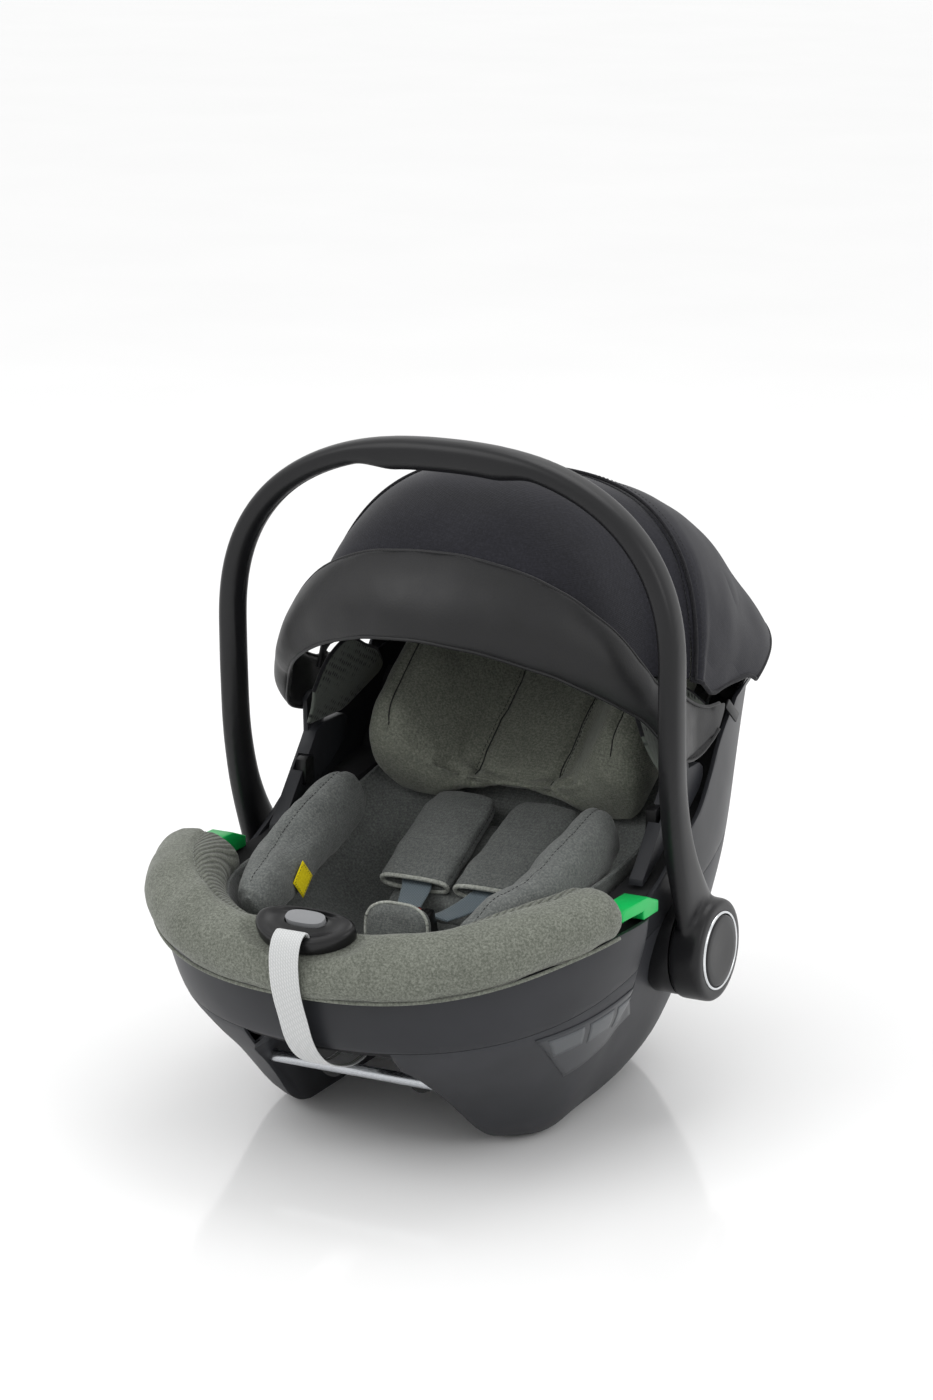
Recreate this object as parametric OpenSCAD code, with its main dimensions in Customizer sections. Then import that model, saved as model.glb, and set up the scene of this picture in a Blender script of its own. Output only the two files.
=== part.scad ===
// Infant car seat: a bucket shell on two runners with a swinging carry handle, a folding canopy
// with a padded visor, a height adjustable headrest and a harness. Millimetres, +Z up, -Y is the
// foot end, +X is the side of the seat's left hand rail as seen from the foot end.

/* [Overall] */
// Width across the two handle hubs
seat_w = 442; // [369:1:530]
// Length from the nose of the front band to the back of the lip
seat_l = 626; // [522:1:751]
// Height from the floor to the top of the carry handle
seat_h = 555; // [463:1:667]

/* [Shell] */
// Wall thickness of the moulded shells
wall_t = 3.5; // [2.5:0.1:4.2]
// Gap left between one moulding and the next
panel_gap = 0.5; // [0.3:0.1:0.8]
// Radius of the steel locking bars
bar_r = 5; // [4.2:0.1:6]

/* [Handle] */
// Radius of the round boss at the foot of each handle leg
boss_r = 43; // [37:0.5:50]
// Radius of the pivot pin inside the boss
pin_r = 12; // [10:0.5:14.4]
// Radial clearance of the handle on its pin
pin_clear = 0.06; // [0.04:0.01:0.09]
// Width of the handle tube across the seat
tube_w = 19; // [16:0.5:21]
// Depth of the handle tube along the seat
tube_d = 28; // [24:0.5:33]
// Radius of the round button in the boss
disc_r = 30; // [25:0.5:34]

/* [Controls] */
// Travel of the round handle buttons
disc_travel = 3.5; // [2.9:0.1:4.2]
// Travel of the two side release buttons
release_travel = 3; // [2.5:0.1:3.6]
// Travel of the harness adjuster button
adjuster_travel = 2.5; // [2:0.1:3]
// Gap around each moving button
button_gap = 0.6; // [0.4:0.1:0.8]

/* [Harness] */
// Width of the harness webbing
webbing_w = 26; // [22:0.5:30]
// Thickness of the harness webbing
webbing_t = 1.6; // [1.2:0.1:2]
// Width of each shoulder pad
pad_w = 66; // [54:1:68]

/* [Soft parts] */
// Thickness of the seat cover along the bucket
cover_t = 11; // [9:0.5:13]
// Thickness of the canopy cloth with its lining
cloth_t = 1.8; // [1.4:0.1:2.2]

/* [Hidden] */
kx = seat_w / 442;
ky = seat_l / 626;
kz = seat_h / 555;
hub_z = 137;
hub_shift = 21.4 * ky;
canopy_y = 15;
canopy_z = 297;
shell_x = 187;
foot_n = 10;
head_n = 12;
rest_y = 76;
rest_z = 215;
rest_tilt = atan2(0.607 * kz, 0.794 * ky);

// ---- helpers ----
function clamp01(t) = min(1, max(0, t));
function smooth(t) = let(u = clamp01(t)) u * u * (3 - 2 * u);
function spow(v, e) = sign(v) * pow(abs(v), e);
function unit(v) = v / norm(v);
function grow(p) = [kx * p[0], ky * p[1], kz * p[2]];
function grow_all(ps) = [for (p = ps) grow(p)];

// moves a piece drawn about the handle axis into the frame centred on the whole seat
module placed() {
  translate([0, hub_shift, 0])
    children();
}

// the left hand piece is the mirror image of the right hand one
module side(left) {
  if (left) mirror([1, 0, 0]) children();
  else children();
}

// closed skin over a list of rings, each with the same number of points
module skin(rings) {
  n = len(rings[0]);
  m = len(rings);
  first = [for (k = [0:2]) let(s = [for (p = rings[0]) p[k]]) s * [for (p = s) 1] / n];
  last = [for (k = [0:2]) let(s = [for (p = rings[m - 1]) p[k]]) s * [for (p = s) 1] / n];
  pts = concat([for (r = rings) each r], [first, last]);
  walls = [for (i = [0:m - 2], j = [0:n - 1]) let(q = (j + 1) % n)
    each [[i * n + j, (i + 1) * n + j, (i + 1) * n + q], [i * n + j, (i + 1) * n + q, i * n + q]]];
  low = [for (j = [0:n - 1]) [m * n, j, (j + 1) % n]];
  high = [for (j = [0:n - 1]) [m * n + 1, (m - 1) * n + (j + 1) % n, (m - 1) * n + j]];
  polyhedron(points = pts, faces = concat(walls, low, high));
}

// the same for open arches: each ring runs out along one face and back along the other
module arch_skin(rings) {
  n = len(rings[0]);
  m = len(rings);
  h = n / 2;
  walls = [for (i = [0:m - 2], j = [0:n - 1]) let(q = (j + 1) % n)
    each [[i * n + j, (i + 1) * n + j, (i + 1) * n + q], [i * n + j, (i + 1) * n + q, i * n + q]]];
  low = [for (j = [0:h - 2]) each [[j, j + 1, n - 1 - j], [j + 1, n - 2 - j, n - 1 - j]]];
  t = (m - 1) * n;
  high = [for (j = [0:h - 2]) each [[t + j, t + n - 1 - j, t + j + 1],
    [t + j + 1, t + n - 1 - j, t + n - 2 - j]]];
  polyhedron(points = [for (r = rings) each r], faces = concat(walls, low, high));
}

// side view outline pushed through the seat from x0 to x1
module side_prism(pts, x0, x1) {
  translate([kx * x0, 0, 0])
    rotate([90, 0, 90])
      linear_extrude(kx * (x1 - x0))
        polygon([for (p = pts) [ky * p[0], kz * p[1]]]);
}

// cylinder along X from x0 to x1 at a side view point
module cross_rod(r, x0, x1, y, z) {
  translate([x0, ky * y, kz * z])
    rotate([0, 90, 0])
      cylinder(r = r, h = x1 - x0, $fn = 48);
}

// ---- bucket shape ----
levels = [0, 3, 9, 20, 38, 62, 92, 120, 150, 185, 230, 280, 330, 352];
function foot_y(z) = lookup(z, [[0, -150], [3, -163], [9, -178], [20, -194], [38, -212], [62, -238],
  [92, -274], [120, -297], [150, -309], [185, -316], [352, -322]]);
function head_y(z) = lookup(z, [[0, 110], [3, 118], [9, 126], [20, 138], [38, 152], [62, 168], [92, 186],
  [120, 202], [150, 213], [185, 226], [230, 240], [280, 259], [330, 281], [352, 291]]);
function foot_w(z) = lookup(z, [[0, 110], [3, 119], [9, 127], [20, 136], [38, 146], [62, 156],
  [92, 170], [120, 186], [150, 195], [185, 203], [352, 208]]);
function head_w(z) = lookup(z, [[0, 106], [3, 116], [9, 125], [20, 134], [38, 145], [62, 154],
  [92, 164], [120, 172], [150, 179], [185, 184], [230, 186.5], [352, shell_x]]);

// half outline from the nose round one side to the head end
function half_plan(yc, yf, yr, wf, wr, nf, nr, soft) = concat(
  [for (i = [0:foot_n]) let(t = 90 - 90 * i / foot_n)
    [wf * pow(cos(t), 2 / nf), yc - (yc - yf) * pow(sin(t), 2 / nf)]],
  [for (i = [1:head_n]) let(t = 90 * pow(i / head_n, 2), y = yc + (yr - yc) * pow(sin(t), 2 / nr))
    [(wr + (wf - wr) * (1 - smooth((y - yc) / soft))) * pow(cos(t), 2 / nr), y]]);
function full_ring(h, z) = let(n = len(h)) grow_all(concat(
  [for (p = h) [p[0], p[1], z]],
  [for (i = [n - 2:-1:1]) [-h[i][0], h[i][1], z]]));
function shell_ring(z, g, zs) = full_ring(half_plan(-110, foot_y(z) + g, head_y(z) - g,
  foot_w(z) - g, head_w(z) - g, 2.3, 3.3, 40), zs);

// the bucket's outside drawn in by g, its floor raised by g
module bucket(g) {
  skin([for (z = levels) shell_ring(z, g, z == 0 ? max(g, 0) : max(z, g + z * 0.2))]);
}

// side view region above the seam that divides the two shells
module above_seam(lift, w) {
  side_prism([[-400, 90 + lift], [400, 250 + lift], [400, 520], [-400, 520]], -w, w);
}
module below_seam(drop, w) {
  side_prism([[-400, 90 - drop], [400, 250 - drop], [400, -60], [-400, -60]], -w, w);
}
rim_line = [[-400, 140], [-318, 160], [-200, 188], [-150, 192], [-80, 192], [-48, 202], [-10, 222],
  [10, 230], [35, 241], [60, 264], [80, 288], [100, 303], [122, 315], [160, 322], [200, 324], [400, 324]];
module below_rim(drop, w) {
  side_prism(concat([for (p = rim_line) [p[0], p[1] - drop]], [[400, -60], [-400, -60]]), -w, w);
}

// tunnel between the runners, drawn out by g
module tunnel(g) {
  translate([0, 450 * ky, 0])
    rotate([90, 0, 0])
      linear_extrude(900 * ky)
        polygon([[-99 * kx - g, -40], [-74 * kx - g, 84 * kz], [-60 * kx, 100 * kz + g],
          [60 * kx, 100 * kz + g], [74 * kx + g, 84 * kz], [99 * kx + g, -40]]);
}

module lower_shell() {
  color([0.17, 0.17, 0.18])
    placed()
      difference() {
        intersection() {
          bucket(0);
          below_seam(panel_gap / 2, 260);
        }
        difference() {
          bucket(wall_t);
          tunnel(wall_t);
        }
        tunnel(0);
        side_prism([[-400, 60], [-262, 96], [-262, 140], [-400, 140]], -66, 66);
        for (y = [-218, 92])
          cross_rod(bar_r + 0.05, -92 * kx, 92 * kx, y, 67);
        cross_rod(pin_r + 0.05, -200 * kx, 200 * kx, 0, hub_z);
        for (s = [-1, 1], y = [-110, 0])
          translate([s * 105 * kx, y * ky, -1])
            cylinder(r = 2.2, h = 20, $fn = 24);
      }
}

module upper_shell() {
  color([0.2, 0.2, 0.21])
    placed()
      difference() {
        intersection() {
          bucket(0);
          above_seam(panel_gap / 2, 260);
          below_rim(0, 260);
        }
        bucket(wall_t);
        cross_rod(pin_r + 0.05, -200 * kx, 200 * kx, 0, hub_z);
      }
}

// flared collar round the head end
function lip_ring(z, g, n) = full_ring(half_plan(-110, -300, head_y(324) - wall_t / 2 + g, shell_x,
  shell_x - wall_t / 2 + min(g, 3.6), 2.3, n, 40), z);
module rear_lip() {
  color([0.19, 0.19, 0.2])
    placed()
      difference() {
        intersection() {
          skin([lip_ring(300, 2.2, 3.3), lip_ring(316, 2.4, 3.3), lip_ring(326, 6, 3.6),
            lip_ring(336, 11, 4), lip_ring(350, 16, 4.3)]);
          side_prism([[112, 309.6], [122, 315.2], [160, 322.2], [200, 324.2], [340, 324.2], [340, 347],
            [240, 347], [200, 344], [160, 336], [130, 324]], -260, 260);
        }
        skin([lip_ring(296, -1.6, 3.3), lip_ring(316, -1.4, 3.3), lip_ring(326, 2.4, 3.6),
          lip_ring(336, 7.4, 4), lip_ring(352, 13, 4.3)]);
      }
}

// ---- seat cavity ----
well_levels = [118, 124, 134, 148, 170, 200, 240, 285, 330, 360];
function well_foot(z) = lookup(z, [[118, -190], [124, -212], [134, -235], [148, -254], [170, -268],
  [200, -276], [360, -280]]);
function well_head(z) = lookup(z, [[118, -70], [124, -45], [134, -22], [148, 2], [170, 34], [200, 73],
  [240, 126], [285, 186], [330, 245], [360, 284]]);
function well_w(z) = lookup(z, [[118, 70], [124, 88], [134, 108], [148, 126], [170, 142], [200, 152],
  [240, 158], [285, 160], [360, 162]]);
module well(g) {
  skin([for (z = well_levels) full_ring(half_plan(-130, well_foot(z) + g, well_head(z) - g,
    well_w(z) - g, well_w(z) - g, 2.4, 6, 40), z == 118 ? 118 + g : max(z, 118 + g + (z - 118) * 0.1))]);
}

module foam_liner() {
  color([0.12, 0.12, 0.13])
    placed()
      difference() {
        intersection() {
          bucket(wall_t + 0.8);
          side_prism([[-400, 106], [300, 106], [400, 300], [140, 300], [100, 236], [0, 208], [-60, 196],
            [-110, 188], [-200, 176], [-330, 142]], -260, 260);
        }
        well(-0.3);
        side_prism([[-30, hub_z - 16], [30, hub_z - 16], [30, hub_z + 16], [-30, hub_z + 16]], 158, 200);
        side_prism([[-30, hub_z - 16], [30, hub_z - 16], [30, hub_z + 16], [-30, hub_z + 16]], -200, -158);
      }
}

module locking_bar(y) {
  color([0.75, 0.77, 0.8])
    placed()
      cross_rod(bar_r, -90 * kx, 90 * kx, y, 67);
}
module front_bar() { locking_bar(-218); }
module rear_bar() { locking_bar(92); }

module hook_tabs() {
  color([0.1, 0.1, 0.11])
    placed()
      for (s = [-1, 1])
        translate([s * 41 * kx, -180 * ky, 99.8 * kz])
          rotate([90, 0, 0])
            linear_extrude(16, center = true)
              union() {
                translate([-13, -42])
                  square([26, 42]);
                translate([0, -42])
                  circle(r = 13, $fn = 40);
              }
}

module shell_screws() {
  color([0.6, 0.61, 0.63])
    placed()
      for (s = [-1, 1], y = [-110, 0])
        translate([s * 105 * kx, y * ky, 0])
          union() {
            translate([0, 0, 0.6])
              cylinder(r = 2.1, h = 9, $fn = 24);
            translate([0, 0, wall_t + 0.9])
              cylinder(r = 4, h = 2.2, $fn = 24);
          }
}

module label_plate() {
  color([0.33, 0.34, 0.36])
    placed()
      difference() {
        intersection() {
          bucket(-0.6);
          side_prism([[-220, 119], [-88, 135], [-54, 90], [-62, 85], [-148, 66], [-164, 68]], 100, 230);
        }
        bucket(-0.03);
      }
}

// ---- hubs and side fittings ----
module hub_mount(left) {
  color([0.15, 0.15, 0.16])
    placed()
      side(left)
        difference() {
          union() {
            cross_rod(boss_r - 2, 170 * kx, 190.5 * kx, 0, hub_z);
            cross_rod(pin_r, 160 * kx, 207 * kx, 0, hub_z);
          }
          difference() {
            bucket(-0.2);
            cross_rod(pin_r, 100 * kx, 230 * kx, 0, hub_z);
          }
        }
}
module hub_mount_left() { hub_mount(true); }
module hub_mount_right() { hub_mount(false); }

module belt_guide(left) {
  color([0.0, 0.7, 0.32])
    placed()
      side(left)
        difference() {
          side_prism([[-152, 198], [-146, 192.8], [-84, 192.8], [-84, 202], [-104, 210], [-146, 211],
            [-152, 208]], 180, 202);
          side_prism([[-160, 180], [-112, 180], [-112, 200], [-160, 203]], 191, 210);
        }
}
module belt_guide_left() { belt_guide(true); }
module belt_guide_right() { belt_guide(false); }

// pillar inside the rim that carries the release button and the canopy pin
module side_trim(left) {
  color([0.18, 0.18, 0.19])
    placed()
      side(left)
        union() {
          difference() {
            union() {
              side_prism([[-56, 201], [-48, 203.5], [-10, 223.5], [10, 231.5], [22, 236.8], [40, 246.5], [55, 256.5],
                [61, 265], [60, 273], [53, 278], [14, 278], [5, 274], [-2, 265], [-44, 216], [-55, 206]], 162, 174.2);
              side_prism([[4, 270], [34, 270], [27, 300], [22, 305], [15, 307], [8, 305], [3, 300]], 170, 174.2);
            }
            translate([155 * kx, -12 * ky - 7 - button_gap, kz * 244 - 12 - button_gap])
              cube([16.8 * kx, 14 + 2 * button_gap, 24 + 2 * button_gap]);
          }
          cross_rod(4, 173 * kx, 181 * kx, canopy_y, canopy_z);
        }
}
module side_trim_left() { side_trim(true); }
module side_trim_right() { side_trim(false); }

module release_button(left) {
  color([0.12, 0.12, 0.13])
    placed()
      side(left)
        translate([kx * 171.8 - release_travel - 9.5, -12 * ky, kz * 244])
          intersection() {
            rotate([0, 90, 0])
              cylinder(r = 12, h = 9, $fn = 48);
            translate([0, -7, -12])
              cube([9, 14, 24]);
          }
}
module release_button_left() { release_button(true); }
module release_button_right() { release_button(false); }

liner_line = [[2, 281], [58, 281], [104, 302], [105, 312], [84, 328], [56, 338], [36, 334],
  [12, 306]];
module mesh_liner(left) {
  color([0.3, 0.34, 0.31])
    placed()
      side(left)
        skin([for (x = [168, 163.4]) [for (p = liner_line)
          grow([x - 0.19 * (p[1] - 281), p[0], p[1]])]]);
}
module mesh_liner_left() { mesh_liner(true); }
module mesh_liner_right() { mesh_liner(false); }

// ---- soft bucket lining ----
module seat_cover() {
  color([0.42, 0.45, 0.4])
    placed()
      difference() {
        intersection() {
          well(0.6);
          side_prism([[-400, 100], [400, 100], [400, 344], [190, 344], [150, 330], [100, 236], [0, 210],
            [-60, 200], [-110, 191], [-200, 178], [-300, 150]], -200, 200);
        }
        well(cover_t);
      }
}

function loop_at(c, a, b, r1, r2, n) = [for (i = [0:n - 1]) let(t = 360 * i / n)
  c + a * r1 * spow(cos(t), 0.8) + b * r2 * spow(sin(t), 0.8)];

// padded insert: a bolster along each thigh and hip, and a back pad under the harness
module insert_cushion() {
  color([0.25, 0.26, 0.27])
    placed()
      for (s = [-1, 1])
        skin([for (i = [len(bolster_path) - 1:-1:0]) let(p = bolster_path[i])
          grow_all(loop_at([s * p[0], p[1], p[2]], [1, 0, 0], unit([0, -0.45, 1]), p[3], p[4], 14))]);
  color([0.42, 0.45, 0.4])
    placed()
      side_prism([[-58, 135.6], [-30, 142], [0, 160], [30, 181], [48, 195], [48, 205.5], [20, 192], [-20, 176],
        [-48, 164.6], [-58, 160]], -60, 60);
}
bolster_path = [[97, -216, 184, 6, 8], [101, -208, 185, 13, 18], [106, -176, 195, 17, 23],
  [118, -130, 199, 19, 29], [120, -84, 210, 19, 31], [120, -42, 221, 17, 30], [119, -14, 228, 13, 24],
  [119, -6, 230, 6, 10]];

// soft roll over the front rim
roll_n = 24;
roll_section = [[-57, 5], [-36, 2], [-2, 0.4], [6, 5], [10, 15], [9, 28], [2, 39], [-12, 45], [-28, 44],
  [-44, 36], [-56, 24], [-60, 13]];
function rim_z(y) = lookup(y, rim_line);
function roll_pt(t) = let(r = abs(t) < 78 ? 0 : (abs(t) - 78) / 12,
  x = 206 * spow(sin(t), 0.87), y = -110 - 208 * pow(abs(cos(t)), 0.87)) [x, y];
function roll_ring(t, k) = let(a = roll_pt(t - 1), b = roll_pt(t + 1), d = unit(b - a),
  out = [d[1], -d[0]], c = roll_pt(t), z0 = rim_z(c[1]) + 2.8)
  grow_all([for (q = roll_section) [c[0] + out[0] * (q[0] * k - 18 * (1 - k)),
    c[1] + out[1] * (q[0] * k - 18 * (1 - k)), z0 + q[1] * k * (1 - 0.14 * smooth((c[1] + 260) / 90))
    + (1 - k) * 6]]);
module rim_cushion() {
  color([0.5, 0.53, 0.47])
    placed()
      difference() {
        skin(concat([roll_ring(79, 0.5)], [for (i = [roll_n:-1:0]) roll_ring(-77 + 154 * i / roll_n, 1)],
          [roll_ring(-79, 0.5)]));
        bezel_place()
          translate([0, 0, -1])
            linear_extrude(60)
              bezel_shape(1.2);
      }
}

// ---- harness adjuster ----
module bezel_place() {
  translate([0, -296 * ky, rim_z(-296) * kz + 42])
    rotate([24, 0, 0])
      children();
}
module bezel_shape(g) {
  polygon([for (i = [0:47]) let(t = 360 * i / 48, c = cos(t), s = sin(t))
    [(43 + g) * spow(c, 0.85) * (s < 0 ? 1 - 0.1 * s * s : 1), s < 0 ? (27 + g) * spow(s, 1.05) : (15 + g) * spow(s, 0.8)]]);
}
module button_shape(g) {
  polygon([for (i = [0:35]) let(t = 360 * i / 36)
    [(17 + g) * spow(cos(t), 0.75), (7.5 + g) * spow(sin(t), 0.75)]]);
}
module adjuster_bezel() {
  color([0.08, 0.08, 0.09])
    placed()
      bezel_place()
        difference() {
          linear_extrude(11)
            bezel_shape(0);
          translate([0, 2, 2])
            linear_extrude(12)
              button_shape(button_gap);
          translate([-webbing_w / 2 - 1, -19, -1])
            cube([webbing_w + 2, 4, 14]);
        }
}
module adjuster_button() {
  color([0.45, 0.46, 0.48])
    placed()
      bezel_place()
        translate([0, 2, 2.5 + adjuster_travel])
          linear_extrude(8)
            button_shape(0);
}

// flat band whose centre line runs through side view points
function band_normal(p, i) = let(a = p[max(i - 1, 0)], b = p[min(i + 1, len(p) - 1)], d = unit(b - a)) [-d[1], d[0]];
module band(path, w, t) {
  rotate([90, 0, 90])
    linear_extrude(w, center = true)
      polygon(concat([for (i = [0:len(path) - 1]) path[i] + band_normal(path, i) * t / 2],
        [for (i = [len(path) - 1:-1:0]) path[i] - band_normal(path, i) * t / 2]));
}
strap_path = [[-313, 203.5], [-316.5, 211.5], [-322, 214], [-329, 209], [-333, 199],
  [-333.5, 187], [-331.5, 172], [-327, 158], [-320, 142],
  [-312, 124], [-301, 109], [-286, 97], [-266, 88], [-244, 83], [-222, 85], [-210, 92]];
module adjuster_strap() {
  color([0.72, 0.73, 0.73])
    placed()
      band([for (p = strap_path) [ky * p[0], kz * p[1]]], webbing_w, webbing_t);
}

// ---- buckle and straps ----
module buckle_body() {
  color([0.1, 0.1, 0.11])
    placed()
      translate([0, -122 * ky, 154 * kz])
        rotate([20, 0, 0])
          difference() {
            translate([-20, -7, -20])
              cube([40, 14, 44]);
            translate([-10 - button_gap, -4 - button_gap, 6])
              cube([20 + 2 * button_gap, 8 + 2 * button_gap, 30]);
          }
}
module buckle_button() {
  color([0.75, 0.06, 0.05])
    placed()
      translate([0, -122 * ky, 154 * kz])
        rotate([20, 0, 0])
          translate([-10, -4, 10])
            cube([20, 8, 15]);
}
module crotch_pad() {
  color([0.27, 0.28, 0.29])
    placed()
      skin(grow_rings([[[0, -152, 134], 22, 6], [[0, -150, 150], 29, 8], [[0, -148, 172], 30, 8],
        [[0, -147, 182], 25, 7], [[0, -146, 186], 15, 4]]));
}
function grow_rings(list) = [for (q = list) grow_all([for (i = [0:19]) let(t = 360 * i / 20)
  q[0] + [q[1] * spow(cos(t), 0.7), q[2] * spow(sin(t), 0.7), 0]])];

// shoulder strap from the pad down to the buckle
function ribbon_ring(c, w, t, n) = [c + w / 2 * [1, 0, 0] + n * t / 2, c - w / 2 * [1, 0, 0] + n * t / 2,
  c - w / 2 * [1, 0, 0] - n * t / 2, c + w / 2 * [1, 0, 0] - n * t / 2];
strap_line = [[16, -108, 165], [22, -88, 166], [30, -62, 171], [35, -48, 178], [36.5, -20, 189],
  [38.5, 16, 203.4], [39.5, 34, 211.4], [39.5, 54, 221]];
module harness_strap(left) {
  color([0.36, 0.41, 0.44])
    placed()
      side(left)
        skin([for (i = [len(strap_line) - 1:-1:0]) let(a = strap_line[max(i - 1, 0)],
          b = strap_line[min(i + 1, len(strap_line) - 1)], d = unit(b - a), n = unit(cross([1, 0, 0], d)))
          ribbon_ring(grow(strap_line[i]), min(webbing_w, i < 2 ? 22 : webbing_w), webbing_t, n)]);
}
module harness_strap_left() { harness_strap(true); }
module harness_strap_right() { harness_strap(false); }

pad_line = [[34.5, -55, 174], [35, -48, 178], [36.5, -20, 189], [38.5, 16, 203.4], [39.5, 34, 211.4], [39.5, 41, 214.6]];
function pad_ring(i, g, h, ext) = let(p = pad_line, a = p[max(i - 1, 0)], b = p[min(i + 1, len(p) - 1)],
  d = unit(b - a), n = unit(cross([1, 0, 0], d)), c = grow(p[i]) + d * (i == 0 ? -ext : i == 5 ? ext : 0))
  [for (k = [0:19]) let(t = 360 * k / 20) c + [1, 0, 0] * g * spow(cos(t), 0.6) + n * h * spow(sin(t), 0.6)];
module shoulder_pad(left) {
  color([0.28, 0.29, 0.31])
    placed()
      side(left)
        difference() {
          skin([for (i = [5:-1:0]) pad_ring(i, pad_w / 2 - (i == 5 ? 3 : 0), 9, 0)]);
          skin([for (i = [5:-1:0]) pad_ring(i, webbing_w / 2 + 2.8, webbing_t / 2 + 1.7, 4)]);
        }
}
module shoulder_pad_left() { shoulder_pad(true); }
module shoulder_pad_right() { shoulder_pad(false); }

// ---- headrest ----
module rest_place() {
  translate([0, ky * rest_y, kz * rest_z])
    rotate([rest_tilt, 0, 0])
      children();
}
module headrest_shell() {
  color([0.12, 0.12, 0.13])
    placed()
      rest_place()
        translate([-84 * kx, 16 * ky, 1.5])
          cube([168 * kx, 150 * ky, 4]);
}
// closed outline of the cushion across the head, wings turned up at both ends
rest_half = [[112, 10], [126, 32], [130, 60], [125, 86], [110, 97], [92, 92], [76, 68], [62, 44], [46, 28]];
module side_cut(pts) {
  translate([-140 * kx, 0, 0])
    rotate([90, 0, 90])
      linear_extrude(280 * kx)
        polygon([for (p = pts) [p[0] * ky, p[1]]]);
}
module headrest_cushion() {
  color([0.46, 0.48, 0.42])
    placed()
      rest_place()
        difference() {
          translate([0, -14 * ky, 0])
            rotate([90, 0, 180])
              linear_extrude(166 * ky)
                polygon(concat([[-104 * kx, 6.3], [104 * kx, 6.3]],
                  [for (p = rest_half) [p[0] * kx, p[1]]],
                  [for (i = [len(rest_half) - 1:-1:0]) [-rest_half[i][0] * kx, rest_half[i][1]]]));
          translate([-68 * kx, -40 * ky, -5])
            cube([136 * kx, 46 * ky, 60]);
          side_cut([[92, 104], [175, 44], [175, 130], [92, 130]]);
        }
}
module wing_tag() {
  color([0.9, 0.82, 0.1])
    placed()
      rest_place()
        translate([-130.3 * kx - 0.7, 50 * ky, 42])
          cube([0.6, 30, 18]);
}
module bolster_tag() {
  color([0.9, 0.82, 0.1])
    placed()
      translate([-92.9 * kx, -152 * ky, 195 * kz])
        rotate([45, 0, 14])
          cube([0.6, 23, 23], center = true);
}

// ---- carry handle ----
// station: across, along, up, tube across, tube along
leg = [[202, 4, 148, 16, 76], [202, -6, 163, 16, 68], [202, -17, 180, 17, 58], [202, -29, 200, 18, 48],
  [202, -42, 225, 19, 38], [202, -52, 252, 19, 32], [202, -60, 290, 19, 28.5], [202, -63, 335, 19, 28],
  [202, -64, 380, 19, 28]];
arc_n = 15;
function arch(i) = let(t = 90 * i / arc_n) [202 * pow(cos(t), 2 / 2.4), -64, 380 + 165 * pow(sin(t), 2 / 2.4)];
function grip(x) = 8 * (1 - smooth((abs(x) - 46) / 40));
function tube_ring(c, a, b, w, d) = [for (k = [0:15]) let(t = 360 * k / 16)
  c + a * w / 2 * spow(cos(t), 0.67) + b * d / 2 * spow(sin(t), 0.67)];
function leg_rings(s) = [for (p = leg) tube_ring(grow([s * p[0], p[1], p[2]]), [s, 0, 0], [0, 1, 0],
  p[3] * tube_w / 19, p[4] * (p[4] < 30 ? tube_d / 28 : 1))];
function arch_ring(x, z, dx, dz) = let(n = unit([-dz, 0, dx]), g = grip(x)) tube_ring(
  grow([x, -64, z]) - n * g / 2, n, [0, 1, 0], tube_w + g, tube_d);
arch_pts = concat([for (i = [0:arc_n]) arch(i)], [for (i = [arc_n - 1:-1:0]) [-arch(i)[0], -64, arch(i)[2]]]);
arch_dirs = [for (i = [0:len(arch_pts) - 1]) unit(arch_pts[min(i + 1, len(arch_pts) - 1)]
  - arch_pts[max(i - 1, 0)])];
module handle_arch() {
  color([0.14, 0.14, 0.15])
    placed()
      difference() {
        union() {
          skin(concat(leg_rings(1), [for (i = [1:len(arch_pts) - 2])
            let(d = arch_dirs[i]) arch_ring(arch_pts[i][0], arch_pts[i][2], -d[0], -d[2])],
            [for (i = [len(leg) - 1:-1:0]) leg_rings(-1)[i]]));
          for (s = [-1, 1])
            side(s < 0)
              cross_rod(boss_r, 191 * kx, 219 * kx, 0, hub_z);
        }
        for (s = [-1, 1])
          side(s < 0) {
            cross_rod(pin_r + pin_clear, 188 * kx, 208.5 * kx, 0, hub_z);
            cross_rod(disc_r + button_gap, 212 * kx, 224 * kx, 0, hub_z);
            cross_rod(disc_r + 3.05, 217.2 * kx, 224 * kx, 0, hub_z);
          }
      }
}
module handle_ring(left) {
  color([0.8, 0.81, 0.83])
    placed()
      side(left)
        difference() {
          cross_rod(disc_r + 3, 217.3 * kx, 220.4 * kx, 0, hub_z);
          cross_rod(disc_r + button_gap, 210 * kx, 226 * kx, 0, hub_z);
        }
}
module handle_ring_left() { handle_ring(true); }
module handle_ring_right() { handle_ring(false); }
module handle_button(left) {
  color([0.1, 0.1, 0.11])
    placed()
      side(left)
        cross_rod(disc_r, 212.3 * kx + disc_travel, 221 * kx, 0, hub_z);
}
module handle_button_left() { handle_button(true); }
module handle_button_right() { handle_button(false); }

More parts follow.
